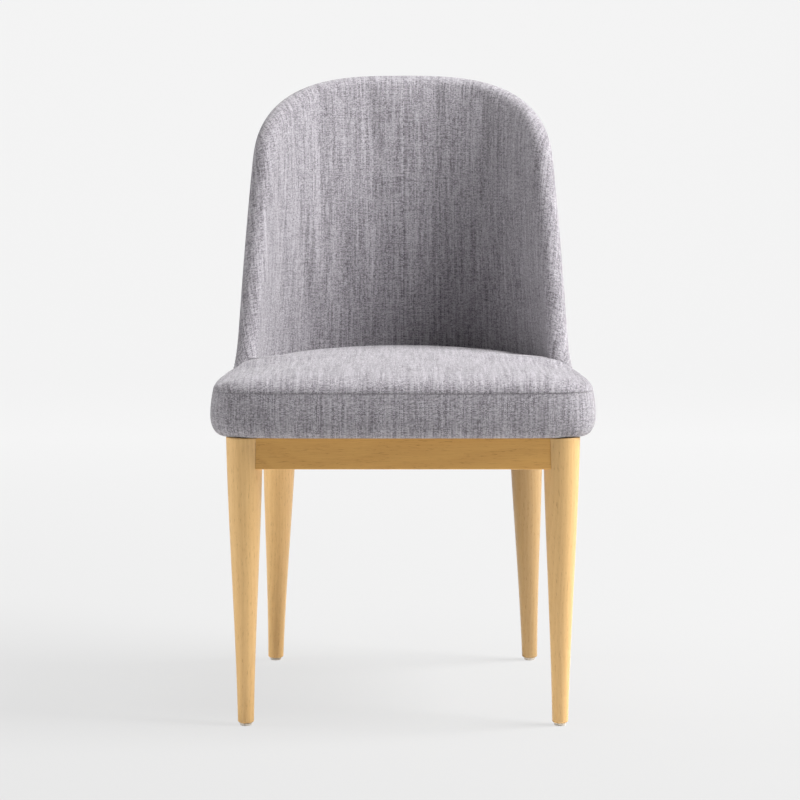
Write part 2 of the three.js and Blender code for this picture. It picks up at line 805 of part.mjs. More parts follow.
// The border's profile at one outline point, as insets and heights, from the fold to the seam.
function borderProfile(point) {
  const { fullness } = point;
  const foot = borderFootRoll * fullness;
  const top = borderTopRoll * fullness;
  const widest = borderHeight * borderWidestShare;
  const profile = [[foldInset(point), 0]];
  for (let step = 0; step <= borderFootSteps; step += 1) {
    const angle = (Math.PI / 2) * (step / borderFootSteps);
    profile.push([foot * (1 - Math.sin(angle)), widest * (1 - Math.cos(angle))]);
  }
  const rise = borderHeight - widest - seamRollHeight;
  for (let step = 1; step <= borderTopSteps; step += 1) {
    const share = step / borderTopSteps;
    profile.push([top * share * share, widest + rise * share]);
  }
  profile.push([top + seamDraw * fullness, borderHeight - gap / 2]);
  return profile.map(([inset, height]) => [inset, seatBottomHeight + height]);
}

// The top panel's rolled edge at one outline point, from the seam up to where the crown begins.
function panelProfile({ x, y, fullness }) {
  const start = borderTopRoll * fullness;
  const width = across(rearRollWidth, panelRollWidth, fullness);
  const depthShare = (y + seatOverhang) / (seatRearDepth + seatOverhang);
  const sideShare = x / seatHalfWidth;
  const rise = panelRollHeight + seatRearRise * depthShare * (1 - sideShare * sideShare);
  const profile = [[start + seamDraw * fullness, gap / 2]];
  for (let step = 1; step <= panelRollSteps; step += 1) {
    const share = (step / panelRollSteps) ** panelRollPower;
    profile.push([start + seamDraw * fullness * (1 - share) + width * share, rise * (1 - (1 - share) ** panelRollPower)]);
  }
  profile[1][1] = Math.max(profile[1][1], seamRollHeight);
  return profile.map(([inset, height]) => [inset, seamHeight + height]);
}

// A profile moved into the cushion by a depth. Its ends can be kept level, as at a seam.
function inwardProfile(profile, depth, levelStart, levelEnd) {
  return profile.map(([inset, height], index) => {
    const levelHere = (index === 0 && levelStart) || (index === profile.length - 1 && levelEnd);
    if (levelHere) return [inset + depth, height];
    const before = profile[Math.max(index - 1, 0)];
    const after = profile[Math.min(index + 1, profile.length - 1)];
    const run = new THREE.Vector2(after[0] - before[0], after[1] - before[1]).normalize();
    return [inset + run.y * depth, height - run.x * depth];
  });
}

function rings(profileOf) {
  const profiles = outline.map(profileOf);
  return profiles[0].map((_, step) => outline.map(({ x, y, inward }, index) => {
    const [inset, height] = profiles[index][step];
    return new THREE.Vector3(x + inward.x * inset, y + inward.y * inset, height);
  }));
}

// Rings from the end of the rolled edge up to the crown, and the crown's own point, lowered by a depth.
function crown(edgeRing, depth) {
  const crownHeight = seamHeight + panelRollHeight + seatCrown - depth;
  const inner = [];
  for (let ring = 1; ring <= crownRings; ring += 1) {
    const share = 1 - ring / (crownRings + 1);
    const lift = (1 + Math.cos(Math.PI * share)) / 2;
    inner.push(edgeRing.map((point) => new THREE.Vector3(
      across(seatCentre.x, point.x, share), across(seatCentre.y, point.y, share),
      across(point.z, crownHeight, lift),
    )));
  }
  return { inner, peak: new THREE.Vector3(seatCentre.x, seatCentre.y, crownHeight) };
}

// A solid made of rings of points: a closed loop of rings, or a run of them with a point at each end.
function ringSolid(ringList, ends) {
  const count = ringList[0].length;
  const points = ringList.flat();
  const triangles = [];
  const link = (ring, next) => {
    for (let index = 0; index < count; index += 1) {
      const after = (index + 1) % count;
      const [a, b] = [ring * count + index, ring * count + after];
      const [c, d] = [next * count + after, next * count + index];
      triangles.push(a, b, c, a, c, d);
    }
  };
  for (let ring = 0; ring + 1 < ringList.length; ring += 1) link(ring, ring + 1);
  if (!ends) {
    link(ringList.length - 1, 0);
    return geometryFrom(points, triangles);
  }
  points.push(...ends);
  const last = (ringList.length - 1) * count;
  for (let index = 0; index < count; index += 1) {
    const after = (index + 1) % count;
    triangles.push(after, index, points.length - 2, last + index, last + after, points.length - 1);
  }
  return geometryFrom(points, triangles);
}

function borderGeometry() {
  const outer = rings(borderProfile);
  const inner = rings((point) => inwardProfile(borderProfile(point), coverThickness, false, true));
  return ringSolid([...outer.reverse(), ...inner]);
}

function topPanelGeometry() {
  const outer = rings(panelProfile);
  const inner = rings((point) => inwardProfile(panelProfile(point), coverThickness, true, false));
  const outerCrown = crown(outer[outer.length - 1], 0);
  const innerCrown = crown(inner[inner.length - 1], coverThickness);
  return ringSolid([
    ...outerCrown.inner.reverse(), ...outer.reverse(), ...inner, ...innerCrown.inner,
  ], [outerCrown.peak, innerCrown.peak]);
}

const boardInset = ({ fullness }) => across(boardRearEdgeDepth, boardEdgeDepth, fullness);

function insetOutline(insetOf, points = outline) {
  return points.map((point) => [
    point.x + point.inward.x * insetOf(point), point.y + point.inward.y * insetOf(point),
  ]);
}

// The foam: the cushion's shape inside its cover, lapping down over the board's edge.
function seatFoamGeometry() {
  const depth = coverThickness + gap + foamEase;
  const skinStart = 3;
  const outer = rings((point) => [
    ...inwardProfile(borderProfile(point), depth, false, true).slice(skinStart),
    ...inwardProfile(panelProfile(point), depth, true, false).slice(1),
  ]);
  const board = rings((point) => [
    [boardInset(point) - gap, boardBottomHeight + gap], [boardInset(point) - gap, boardTopHeight + gap],
  ]);
  const outerCrown = crown(outer[outer.length - 1], depth);
  const floor = new THREE.Vector3(seatCentre.x, seatCentre.y, boardTopHeight + gap);
  return ringSolid([...board.reverse(), ...outer, ...outerCrown.inner], [floor, outerCrown.peak]);
}

// Seat screws, back bolts and the bores for them

const corners = Object.fromEntries(Object.keys(legs).map((name) => [name, innerCorner(name)]));
const seatScrewPlaces = Object.values(corners).map(seatScrewPlace);

// Each bolt stands square on the middle of one facet of the shell, on both sides of the chair.
const backBolts = sides.flatMap(([, side]) => backBoltColumns.map((column) => {
  const near = outerFacePoint(side * column / halfBackColumns, backBoltHeight);
  const far = outerFacePoint(side * (column + 1) / halfBackColumns, backBoltHeight);
  const inward = far.clone().sub(near).cross(up).multiplyScalar(-side).normalize();
  return { face: near.lerp(far, 1 / 2), inward: inward.negate() };
}));

function backBoltGeometry() {
  const underHead = shellDepth - gap;
  const tip = backThickness + seatToBackGap + backBoltTipDepth;
  return turned([
    [0, underHead - backBoltHeadHeight], [backBoltHeadRadius, underHead - backBoltHeadHeight],
    [backBoltHeadRadius, underHead], [backBoltRadius, underHead], [backBoltRadius, tip], [0, tip],
  ]);
}

const boltBores = (radius) => backBolts.map(({ face, inward }) => (
  bore(radius, face.clone().addScaledVector(inward, -cutOverrun), inward,
    backThickness + backBoltTipDepth + cutOverrun + 2 * seatToBackGap)));

function backNutPlace({ face, inward }) {
  return face.clone().addScaledVector(inward, backThickness + seatToBackGap + backNutDepth);
}

const backNutTopHeight = boardTopHeight - backNutEndGap;

function backNutGeometry(bolt) {
  const place = backNutPlace(bolt);
  const length = backNutTopHeight - gap - boardBottomHeight;
  const body = bore(backNutRadius, place.clone().setZ(boardBottomHeight), up, length);
  const hole = bore(backBoltRadius + boreClearance, place.clone().addScaledVector(bolt.inward, -backNutDepth),
    bolt.inward, 2 * backNutDepth);
  return cut(body, [hole]);
}

function boardGeometry() {
  const cutters = boltBores(backBoltRadius + boreClearance);
  for (const place of seatScrewPlaces) {
    const base = place.clone().setZ(boardBottomHeight - cutOverrun);
    cutters.push(bore(seatNutRadius + boreClearance, base, up, boardThickness + 2 * cutOverrun));
    const counterbore = place.clone().setZ(boardTopHeight - seatNutFlangeHeight - gap);
    cutters.push(bore(seatNutFlangeRadius + boreClearance, counterbore, up, cutOverrun));
  }
  for (const bolt of backBolts) {
    const base = backNutPlace(bolt).setZ(boardBottomHeight - cutOverrun);
    cutters.push(bore(backNutRadius + boreClearance, base, up, backNutTopHeight - base.z));
  }
  for (const side of [-1, 0, 1]) {
    const centre = new THREE.Vector3(side * ventSpacing, seatCentre.y, boardBottomHeight - cutOverrun);
    cutters.push(bore(ventRadius, centre, up, boardThickness + 2 * cutOverrun, ventSides));
  }
  return cut(slab(insetOutline(boardInset), boardBottomHeight, boardTopHeight), cutters);
}

// The dust cover lies inside the border's fold and runs straight past the nooks in front of the wings.
function dustCoverGeometry() {
  const inset = (point) => foldInset(point) + dustCoverEdgeGap;
  const edge = insetOutline(inset, outline.filter(({ nook }) => !nook));
  const top = boardBottomHeight - gap;
  const holes = seatScrewPlaces.map((place) => (
    bore(seatNutRadius, place.clone().setZ(blockBottomHeight), up, boardTopHeight - blockBottomHeight)));
  return cut(slab(edge, top - dustCoverThickness, top), holes);
}

// Sub-assemblies

function woodFrame() {
  const group = new THREE.Group();
  for (const [name, line] of Object.entries(railLines)) {
    const bores = line.legNames.flatMap((legName) => blockScrews(corners[legName]))
      .map(({ seat, direction }) => bore(blockScrewRadius + boreClearance, seat, direction, blockScrewLength + gap));
    group.add(piece(name, railGeometry(line, bores), 'wood'));
  }
  Object.entries(legs).forEach(([name, leg], index) => {
    const tenons = Object.values(railLines).filter((line) => line.legNames.includes(name))
      .map((line) => tenonBar(line, boreClearance));
    group.add(piece(`${name}_leg`, legGeometry(leg, tenons), 'wood'));
    const glidePlace = leg.foot.clone().setZ(0);
    group.add(placed(piece(`foot_glide_${index + 1}`, glideGeometry(), 'nylon'), glidePlace, up));
    group.add(piece(`corner_block_${name}`, blockGeometry(corners[name], name), 'wood'));
    blockScrews(corners[name]).forEach(({ seat, direction }, screw) => {
      const label = `block_screw_${index * 2 + screw + 1}`;
      group.add(placed(piece(label, blockScrewGeometry(), 'steel'), seat, direction));
    });
    const seatScrew = piece(`seat_screw_${index + 1}`, seatScrewGeometry(), 'steel');
    group.add(placed(seatScrew, seatScrewPlaces[index], up));
  });
  return group;
}

function seat() {
  const group = new THREE.Group();
  const boltHoles = boltBores(backBoltRadius + boreClearance);
  group.add(piece('seat_board', boardGeometry(), 'plywood'));
  seatScrewPlaces.forEach((place, index) => {
    const top = place.clone().setZ(boardTopHeight);
    group.add(placed(piece(`seat_nut_${index + 1}`, seatNutGeometry(), 'steel'), top, up.clone().negate()));
  });
  group.add(piece('seat_foam', cut(seatFoamGeometry(), boltHoles), 'foam'));
  group.add(piece('seat_border_cover', cut(borderGeometry(), boltHoles), 'fabric'));
  group.add(piece('seat_top_cover', topPanelGeometry(), 'fabric'));
  group.add(piece('seat_dust_cover', dustCoverGeometry(), 'dustCloth'));
  return group;
}

function back() {
  const group = new THREE.Group();
  const boltHoles = boltBores(backBoltRadius + boreClearance);
  const headHoles = boltBores(backBoltHeadRadius + boreClearance);
  const shell = plainLayer(backFootHeight, shellDepth, shellThickness);
  const outerPad = plainLayer(backFootHeight, outerPadDepth, outerPadThickness);
  group.add(piece('back_shell', cut(shell, boltHoles), 'plywood'));
  group.add(piece('back_foot_strip', cut(footStripGeometry(), boltHoles), 'plywood'));
  group.add(piece('back_inner_foam', innerPadGeometry(), 'foam'));
  group.add(piece('back_outer_foam', cut(outerPad, headHoles), 'foam'));
  group.add(piece('back_inner_cover', cut(innerCoverGeometry(), boltHoles), 'fabric'));
  group.add(piece('back_outer_cover', plainLayer(backFootHeight, 0, coverThickness), 'fabric'));
  backBolts.forEach((bolt, index) => {
    group.add(placed(piece(`back_bolt_${index + 1}`, backBoltGeometry(), 'steel'), bolt.face, bolt.inward));
    group.add(piece(`back_nut_${index + 1}`, backNutGeometry(bolt), 'steel'));
  });
  return group;
}

// The chair, moved so that its origin is under the middle of its footprint.
const chair = new THREE.Group();
chair.add(woodFrame(), seat(), back());
chair.updateMatrixWorld(true);
const room = new THREE.Box3().setFromObject(chair, true);
for (const part of chair.children) {
  part.position.set(-(room.min.x + room.max.x) / 2, -(room.min.y + room.max.y) / 2, 0);
}

export default chair;
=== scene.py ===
"""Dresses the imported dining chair: upholstery, timber, trim, light and camera. Lengths are in metres."""

from __future__ import annotations

import logging
import math
from collections.abc import Sequence
from dataclasses import dataclass, field
from enum import Enum
from functools import cache, cached_property

import bpy
import numpy as np
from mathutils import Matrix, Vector


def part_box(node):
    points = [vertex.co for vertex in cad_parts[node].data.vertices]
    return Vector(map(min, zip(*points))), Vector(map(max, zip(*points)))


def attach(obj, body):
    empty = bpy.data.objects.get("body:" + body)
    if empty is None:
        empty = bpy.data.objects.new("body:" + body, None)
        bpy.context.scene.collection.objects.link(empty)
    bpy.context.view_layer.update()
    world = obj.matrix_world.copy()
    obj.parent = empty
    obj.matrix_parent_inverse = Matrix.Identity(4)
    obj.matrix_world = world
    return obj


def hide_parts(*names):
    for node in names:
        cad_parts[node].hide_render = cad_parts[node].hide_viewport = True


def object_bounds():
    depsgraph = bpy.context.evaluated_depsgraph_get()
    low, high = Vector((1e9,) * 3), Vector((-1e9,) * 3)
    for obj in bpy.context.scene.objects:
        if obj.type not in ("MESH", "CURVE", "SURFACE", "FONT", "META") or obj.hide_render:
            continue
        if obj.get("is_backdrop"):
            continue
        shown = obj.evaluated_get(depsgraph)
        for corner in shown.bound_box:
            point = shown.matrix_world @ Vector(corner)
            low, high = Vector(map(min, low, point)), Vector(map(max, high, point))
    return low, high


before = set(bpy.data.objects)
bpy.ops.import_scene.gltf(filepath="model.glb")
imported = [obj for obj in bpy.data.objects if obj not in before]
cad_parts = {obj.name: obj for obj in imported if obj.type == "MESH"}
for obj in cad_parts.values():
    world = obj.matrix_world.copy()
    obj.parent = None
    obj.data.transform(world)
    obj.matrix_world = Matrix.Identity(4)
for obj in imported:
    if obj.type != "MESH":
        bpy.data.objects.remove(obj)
cad_low, cad_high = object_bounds()

log = logging.getLogger("dining_chair")

Array = np.ndarray
Socket = bpy.types.NodeSocket
Colour = tuple[float, float, float, float]
Face = tuple[int, ...]

MILLIMETRE = 0.001
GAP = 0.3 * MILLIMETRE
JOINT_GAP = 0.45 * MILLIMETRE
QUARTER_TURN = math.pi / 2
CLOTH_MAP = "ClothMap"
GRAIN_PLACE = "grain_place"
PAINTED_SIDE_LIGHTING = "painted_side_lighting"
FACING = "facing"


def millimetres(value: float) -> float:
    """Returns a length given in millimetres as metres."""
    return value * MILLIMETRE


def mix(start: float, end: float, share: float) -> float:
    """Returns the value that lies a share of the way from start to end."""
    return start + (end - start) * share


def unit(vectors: Array) -> Array:
    """Returns vectors with a length of one."""
    return vectors / np.linalg.norm(vectors, axis=-1, keepdims=True)


def circle(sides: int) -> tuple[Array, Array]:
    """Returns the cosines and sines of evenly spaced angles round a circle."""
    angle = np.linspace(0, 2 * math.pi, sides, endpoint=False)
    return np.cos(angle), np.sin(angle)


def paint(red: int, green: int, blue: int) -> Colour:
    """Turns a screen colour into the linear colour that shaders use.

    Args:
        red: Red, from 0 to 255.
        green: Green, from 0 to 255.
        blue: Blue, from 0 to 255.

    Returns:
        The linear colour with an opacity of one.
    """
    linear = []
    for channel in (red, green, blue):
        share = channel / 255
        linear.append(share / 12.92 if share <= 0.04045 else ((share + 0.055) / 1.055) ** 2.4)
    return (*linear, 1.0)


def middle_depth(name: str) -> float:
    """Returns how far back the middle of a CAD node lies."""
    low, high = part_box(name)
    return (low[1] + high[1]) / 2


def add_object(name: str, data: bpy.types.ID) -> bpy.types.Object:
    """Makes an object and links it to the scene.

    Args:
        name: The new object's name.
        data: Its mesh, light or camera.

    Returns:
        The object.
    """
    made = bpy.data.objects.new(name, data)
    bpy.context.scene.collection.objects.link(made)
    return made


LEG_AXIS_DEPTH = middle_depth("front_left_leg")


# Materials


class NodeBuilder:
    """Adds and links the nodes of a shader or a geometry tree with few words."""

    def __init__(self, tree: bpy.types.NodeTree) -> None:
        """Takes the node tree to build in."""
        self.tree = tree

    def feed(self, socket: Socket, value: object) -> None:
        """Links a socket to an output, or sets its value.

        Args:
            socket: The input socket.
            value: An output socket, or a fixed value.
        """
        if isinstance(value, Socket):
            self.tree.links.new(value, socket)
        else:
            socket.default_value = value

    def node(self, kind: str, inputs: dict[str | int, object] | None = None,
             **settings: object) -> bpy.types.Node:
        """Adds a node.

        Args:
            kind: The node's type name.
            inputs: Outputs or fixed values for its inputs, by name or by number.
            **settings: Attributes to set on it first.

        Returns:
            The node.
        """
        node = self.tree.nodes.new(kind)
        for name, value in settings.items():
            setattr(node, name, value)
        for label, value in (inputs or {}).items():
            self.feed(node.inputs[label], value)
        return node

    def math(self, operation: str, *values: object) -> Socket:
        """Works out one step of arithmetic with numbers or outputs."""
        return self.node("ShaderNodeMath", dict(enumerate(values)), operation=operation).outputs[0]

    def blend(self, factor: object, first: object, second: object) -> Socket:
        """Mixes two numbers: a factor of 1 gives the second."""
        return self.node("ShaderNodeMix", {0: factor, 2: first, 3: second}, data_type="FLOAT").outputs[0]

    def tint(self, factor: object, first: object, second: object, mode: str = "MIX") -> Socket:
        """Mixes two colours in a blend mode: a factor of 1 gives the second's full effect."""
        inputs = {0: factor, 6: first, 7: second}
        return self.node("ShaderNodeMix", inputs, data_type="RGBA", blend_type=mode).outputs[2]

    def combine(self, x: object, y: object, z: object = 0.0) -> Socket:
        """Makes a vector of three numbers or outputs."""
        return self.node("ShaderNodeCombineXYZ", {0: x, 1: y, 2: z}).outputs[0]

    def split(self, vector: Socket) -> bpy.types.NodeOutputs:
        """Takes a vector apart into its three numbers."""
        return self.node("ShaderNodeSeparateXYZ", {0: vector}).outputs

    def noise(self, place: object, scale: float, detail: float = 2.0, roughness: float = 0.5,
              dimensions: str = "3D") -> Socket:
        """Adds a noise texture.

        Args:
            place: The vector it is read at.
            scale: Its scale.
            detail: How many finer layers it has.
            roughness: How strong the finer layers are.
            dimensions: 2D or 3D.

        Returns:
            The noise value's socket.
        """
        inputs = {"Vector": place, "Scale": scale, "Detail": detail, "Roughness": roughness}
        return self.node("ShaderNodeTexNoise", inputs, noise_dimensions=dimensions).outputs["Fac"]

    def flecks(self, x: object, y: object) -> Socket:
        """Gives each whole step of two numbers a chance value from 0 to 1."""
        inputs = {"Vector": self.combine(x, y)}
        return self.node("ShaderNodeTexWhiteNoise", inputs, noise_dimensions="2D").outputs["Value"]

    def band(self, value: object, low: float, high: float) -> Socket:
        """Stretches a number so that low becomes 0 and high becomes 1, with soft ends."""
        inputs = {"Value": value, "From Min": low, "From Max": high}
        return self.node("ShaderNodeMapRange", inputs, interpolation_type="SMOOTHSTEP").outputs["Result"]

    def group(self, tree: bpy.types.NodeTree, **values: object) -> bpy.types.NodeOutputs:
        """Places a node group.

        Args:
            tree: The group's tree.
            **values: Its inputs by name, with underscores for spaces.

        Returns:
            The group's outputs.
        """
        inputs = {name.replace("_", " "): value for name, value in values.items()}
        return self.node("ShaderNodeGroup", inputs, node_tree=tree).outputs

    def object_place(self) -> Socket:
        """Gives the place in the object's own directions."""
        return self.node("ShaderNodeTexCoord").outputs["Object"]


def new_group(name: str, kind: str, inputs: dict[str, tuple[str, object]], outputs: dict[str, str]) -> tuple[
        NodeBuilder, bpy.types.NodeOutputs, bpy.types.NodeInputs]:
    """Starts a node group.

    Args:
        name: The group's name.
        kind: ShaderNodeTree or GeometryNodeTree.
        inputs: The socket type, without its prefix, and the default value of each input.
        outputs: The socket type, without its prefix, of each output.

    Returns:
        The tree's builder, what the group is given, and the sockets that take its results.
    """
    tree = bpy.data.node_groups.new(name, kind)
    for label, (socket_kind, value) in inputs.items():
        socket = tree.interface.new_socket(label, in_out="INPUT", socket_type=f"NodeSocket{socket_kind}")
        if value is not None:
            socket.default_value = value
    for label, socket_kind in outputs.items():
        tree.interface.new_socket(label, in_out="OUTPUT", socket_type=f"NodeSocket{socket_kind}")
    builder = NodeBuilder(tree)
    return builder, builder.node("NodeGroupInput").outputs, builder.node("NodeGroupOutput").inputs


@cache
def plain_weave_group() -> bpy.types.NodeTree:
    """Builds the plain weave: threads that pass over and under, each with its own uneven lightness.

    Returns:
        A group that puts out Tone, from dark to light yarn, and Height.
    """
    inputs = {
        "Place": ("Vector", None), "Warp pitch": ("Float", 0.001), "Weft pitch": ("Float", 0.001),
        "Slub length": ("Float", 0.02), "Slub width": ("Float", 0.002), "Slub share": ("Float", 0.5),
    }
    outputs = {"Tone": "Float", "Height": "Float"}
    t, given, result = new_group("Plain weave", "ShaderNodeTree", inputs, outputs)
    slub_length, slub_width = given["Slub length"], given["Slub width"]
    across, along = t.split(given["Place"])[:2]
    warp, weft = t.math("DIVIDE", across, given["Warp pitch"]), t.math("DIVIDE", along, given["Weft pitch"])
    warp_number, weft_number = t.math("FLOOR", warp), t.math("FLOOR", weft)
    over = t.math("PINGPONG", t.math("ADD", warp_number, weft_number), 1.0)

    def crown(value: Socket) -> Socket:
        """Returns a thread's round height, from 0 at its edges to 1 at its middle."""
        centred = t.math("SUBTRACT", t.math("FRACT", value), 0.5)
        return t.math("COSINE", t.math("MULTIPLY", centred, math.pi))

    def arched(crest: Socket, crossed: Socket) -> Socket:
        """Returns a thread's height, which falls by half where it dives under the one it crosses."""
        return t.math("MULTIPLY", crest, t.math("MULTIPLY_ADD", crossed, 0.5, 0.5))

    def slub_noise(x_size: object, y_size: object, detail: float, roughness: float) -> Socket:
        """Returns a noise whose spots have the given sizes across and along the cloth."""
        place = t.combine(t.math("DIVIDE", across, x_size), t.math("DIVIDE", along, y_size))
        return t.noise(place, 1.0, detail, roughness, "2D")

    warp_crown, weft_crown = crown(warp), crown(weft)
    height = t.blend(over, arched(weft_crown, warp_crown), arched(warp_crown, weft_crown))

    thread_offset, fleck_share, cross_share, broad_share = 17.3, 0.46, 0.26, 0.34
    calm_share, calm_shift, broad_width, broad_length = 0.7, 0.15, 3.2, 4.0
    fleck_relief, slub_relief, thread_relief = 0.35, 0.9, 0.8
    warp_x, weft_y = (t.math("MULTIPLY", number, thread_offset) for number in (warp_number, weft_number))
    warp_tone = t.noise(t.combine(warp_x, t.math("DIVIDE", along, slub_length)), 1.0, 3.0, 0.6, "2D")
    weft_tone = t.noise(t.combine(t.math("DIVIDE", across, slub_length), weft_y), 1.0, 3.0, 0.6, "2D")
    calm_weft = t.math("MULTIPLY_ADD", weft_tone, calm_share, calm_shift)
    speckle = t.flecks(warp_number, weft_number)
    dashes = t.flecks(t.math("FLOOR", t.math("MULTIPLY", warp, 0.5)), weft_number)
    yarn = t.blend(fleck_share, t.blend(over, calm_weft, warp_tone), t.blend(0.5, speckle, dashes))

    slubs = slub_noise(slub_width, slub_length, 4.0, 0.65)
    cross_slubs = slub_noise(slub_length, slub_width, 3.0, 0.6)
    broad = slub_noise(t.math("MULTIPLY", slub_width, broad_width),
                       t.math("MULTIPLY", slub_length, broad_length), 2.0, 0.5)
    streaks = t.blend(broad_share, t.blend(cross_share, slubs, cross_slubs), broad)
    t.feed(result["Tone"], t.band(t.blend(given["Slub share"], yarn, streaks), 0.3, 0.7))
    uneven = t.math("MULTIPLY_ADD", speckle, fleck_relief, t.math("MULTIPLY", streaks, slub_relief))
    t.feed(result["Height"], t.math("ADD", uneven, t.math("MULTIPLY", height, thread_relief)))
    return t.tree


@cache
def timber_group() -> bpy.types.NodeTree:
    """Builds timber that is cut along its grain: growth bands, fine fibres and short open pores.

    Returns:
        A group that puts out Band, Fibre, Pores and Height for a place with its third number along the grain.
    """
    inputs = {"Place": ("Vector", None), "Band width": ("Float", 0.006), "Wander": ("Float", 0.004)}
    outputs = {"Band": "Float", "Fibre": "Float", "Pores": "Float", "Height": "Float"}
    t, given, result = new_group("Timber grain", "ShaderNodeTree", inputs, outputs)
    x, y, z = t.split(given["Place"])

    def stretched(along_share: float) -> Socket:
        """Returns the place with its length along the grain made shorter."""
        return t.combine(x, y, t.math("MULTIPLY", z, along_share))

    bend_scale, fibre_scale, pore_scale = 14.0, 900.0, 1500.0
    ring_slant, band_start, band_end, pore_clustering = 0.35, 0.75, 0.82, 0.65
    bend = t.math("SUBTRACT", t.noise(stretched(0.25), bend_scale, 2.0), 0.5)
    wide = t.math("MULTIPLY_ADD", bend, t.math("MULTIPLY", given["Wander"], 6.0), x)
    offset = t.math("MULTIPLY_ADD", y, ring_slant, wide)
    ring = t.math("FRACT", t.math("DIVIDE", offset, given["Band width"]))
    band = t.math("MULTIPLY", t.band(ring, 0.0, band_start), t.band(ring, 1.0, band_end))
    fibre = t.noise(stretched(0.03), fibre_scale, 3.0, 0.6)
    pore_noise = t.noise(stretched(0.06), pore_scale, 2.0, 0.5)
    pores = t.math("MULTIPLY", t.band(pore_noise, 0.6, 0.72), t.blend(pore_clustering, 1.0, band))
    t.feed(result["Band"], band)
    t.feed(result["Fibre"], t.band(fibre, 0.3, 0.7))
    t.feed(result["Pores"], pores)
    t.feed(result["Height"], t.math("SUBTRACT", t.math("MULTIPLY", fibre, 0.3), pores))
    return t.tree


def new_material(name: str, roughness: float, **fixed: object) -> tuple[
        bpy.types.Material, NodeBuilder, bpy.types.Node]:
    """Starts a material.

    Args:
        name: The material's name.
        roughness: The shader's roughness.
        **fixed: Other shader inputs, by name with underscores for spaces.

    Returns:
        The material, its tree's builder and its shader node.
    """
    material = bpy.data.materials.new(name)
    material.use_nodes = True
    shader = material.node_tree.nodes["Principled BSDF"]
    shader.inputs["Roughness"].default_value = roughness
    for label, value in fixed.items():
        shader.inputs[label.replace("_", " ")].default_value = value
    return material, NodeBuilder(material.node_tree), shader


def add_bump(t: NodeBuilder, shader: bpy.types.Node, height: Socket, depth: float,
             strength: float) -> None:
    """Feeds a height to a shader's normal.

    Args:
        t: The material's tree.
        shader: Its shader node.
        height: The height, from 0 to 1.
        depth: The height's real size.
        strength: The share of the effect that shows.
    """
    bump = t.node("ShaderNodeBump", {"Strength": strength, "Distance": depth, "Height": height})
    t.feed(shader.inputs["Normal"], bump.outputs[0])


@dataclass(frozen=True)
class WovenCloth:
    """Heathered upholstery cloth in a plain weave, with painted shade where the weave lies low."""

    name: str
    dark: Colour
    light: Colour
    # The dark colour of the painted shade between the threads.
    hollow_shade: Colour
    warp_pitch: float = millimetres(1.35)
    weft_pitch: float = millimetres(1.25)
    slub_length: float = millimetres(36)
    slub_width: float = millimetres(1.5)
    slub_share: float = 0.52
    # How much the painted shade darkens the lowest parts of the weave.
    hollow_shade_share: float = 0.28
    thread_depth: float = millimetres(0.5)
    roughness: float = 0.92

    def material(self) -> bpy.types.Material:
        """Makes the cloth's material.

        Returns:
            The material.
        """
        material, t, shader = new_material(self.name, self.roughness, Sheen_Weight=0.35, Sheen_Roughness=0.45,
                                           Specular_IOR_Level=0.2)
        place = t.node("ShaderNodeUVMap", uv_map=CLOTH_MAP).outputs[0]
        weave = t.group(plain_weave_group(), Place=place, Warp_pitch=self.warp_pitch,
                        Weft_pitch=self.weft_pitch, Slub_length=self.slub_length,
                        Slub_width=self.slub_width, Slub_share=self.slub_share)
        yarn = t.tint(weave["Tone"], self.dark, self.light)
        # Painted shade: where the weave lies low, between the threads, the yarn colour is darkened towards
        # the painted shade colour.
        raised = t.band(weave["Height"], 0.3, 1.0)
        colour = t.tint(t.blend(raised, 1 - self.hollow_shade_share, 1.0), self.hollow_shade, yarn)
        t.feed(shader.inputs["Base Color"], colour)
        add_bump(t, shader, weave["Height"], self.thread_depth, 1.0)
        return material


@dataclass(frozen=True)
class Timber:
    """Pale open-pored hardwood or plywood under a thin lacquer."""

    name: str
    pale: Colour
    deep: Colour
    pore: Colour
    band_width: float = millimetres(6)
    wander: float = millimetres(5)
    relief: float = millimetres(0.12)
    roughness: float = 0.42
    pore_roughness: float = 0.75
    from_map: bool = True

    def place(self, t: NodeBuilder) -> Socket:
        """Finds where a point lies in its board, with the grain along the third number.

        Args:
            t: The material's tree.

        Returns:
            The place that is stored with the piece, or else the object's own place turned on its side.
        """
        if self.from_map:
            return t.node("ShaderNodeAttribute", attribute_name=GRAIN_PLACE).outputs["Vector"]
        inputs = {"Rotation": (0.0, QUARTER_TURN, 0.0), "Vector": t.object_place()}
        return t.node("ShaderNodeMapping", inputs).outputs[0]

    def material(self) -> bpy.types.Material:
        """Makes the timber's material.

        Returns:
            The material.
        """
        material, t, shader = new_material(self.name, self.roughness, Coat_Weight=0.05, Coat_Roughness=0.35,
                                           Specular_IOR_Level=0.3)
        grain = t.group(timber_group(), Place=self.place(t), Band_width=self.band_width, Wander=self.wander)
        colour = self.pale
        marks = (("Band", 0.22, self.deep), ("Fibre", 0.34, self.deep), ("Pores", 0.8, self.pore))
        for mask, share, darker in marks:
            colour = t.tint(t.math("MULTIPLY", grain[mask], share), colour, darker)
        # Painted light and shade: each leg's colour is multiplied by one plus its painted lighting, so the
        # left legs come out lighter and the right legs darker.
        board = t.math("ADD", t.node("ShaderNodeAttribute", attribute_name=PAINTED_SIDE_LIGHTING).outputs["Fac"], 1.0)
        t.feed(shader.inputs["Base Color"], t.tint(1.0, colour, t.combine(board, board, board), "MULTIPLY"))
        t.feed(shader.inputs["Roughness"], t.blend(grain["Pores"], self.roughness, self.pore_roughness))
        add_bump(t, shader, grain["Height"], self.relief, 0.5)
        return material


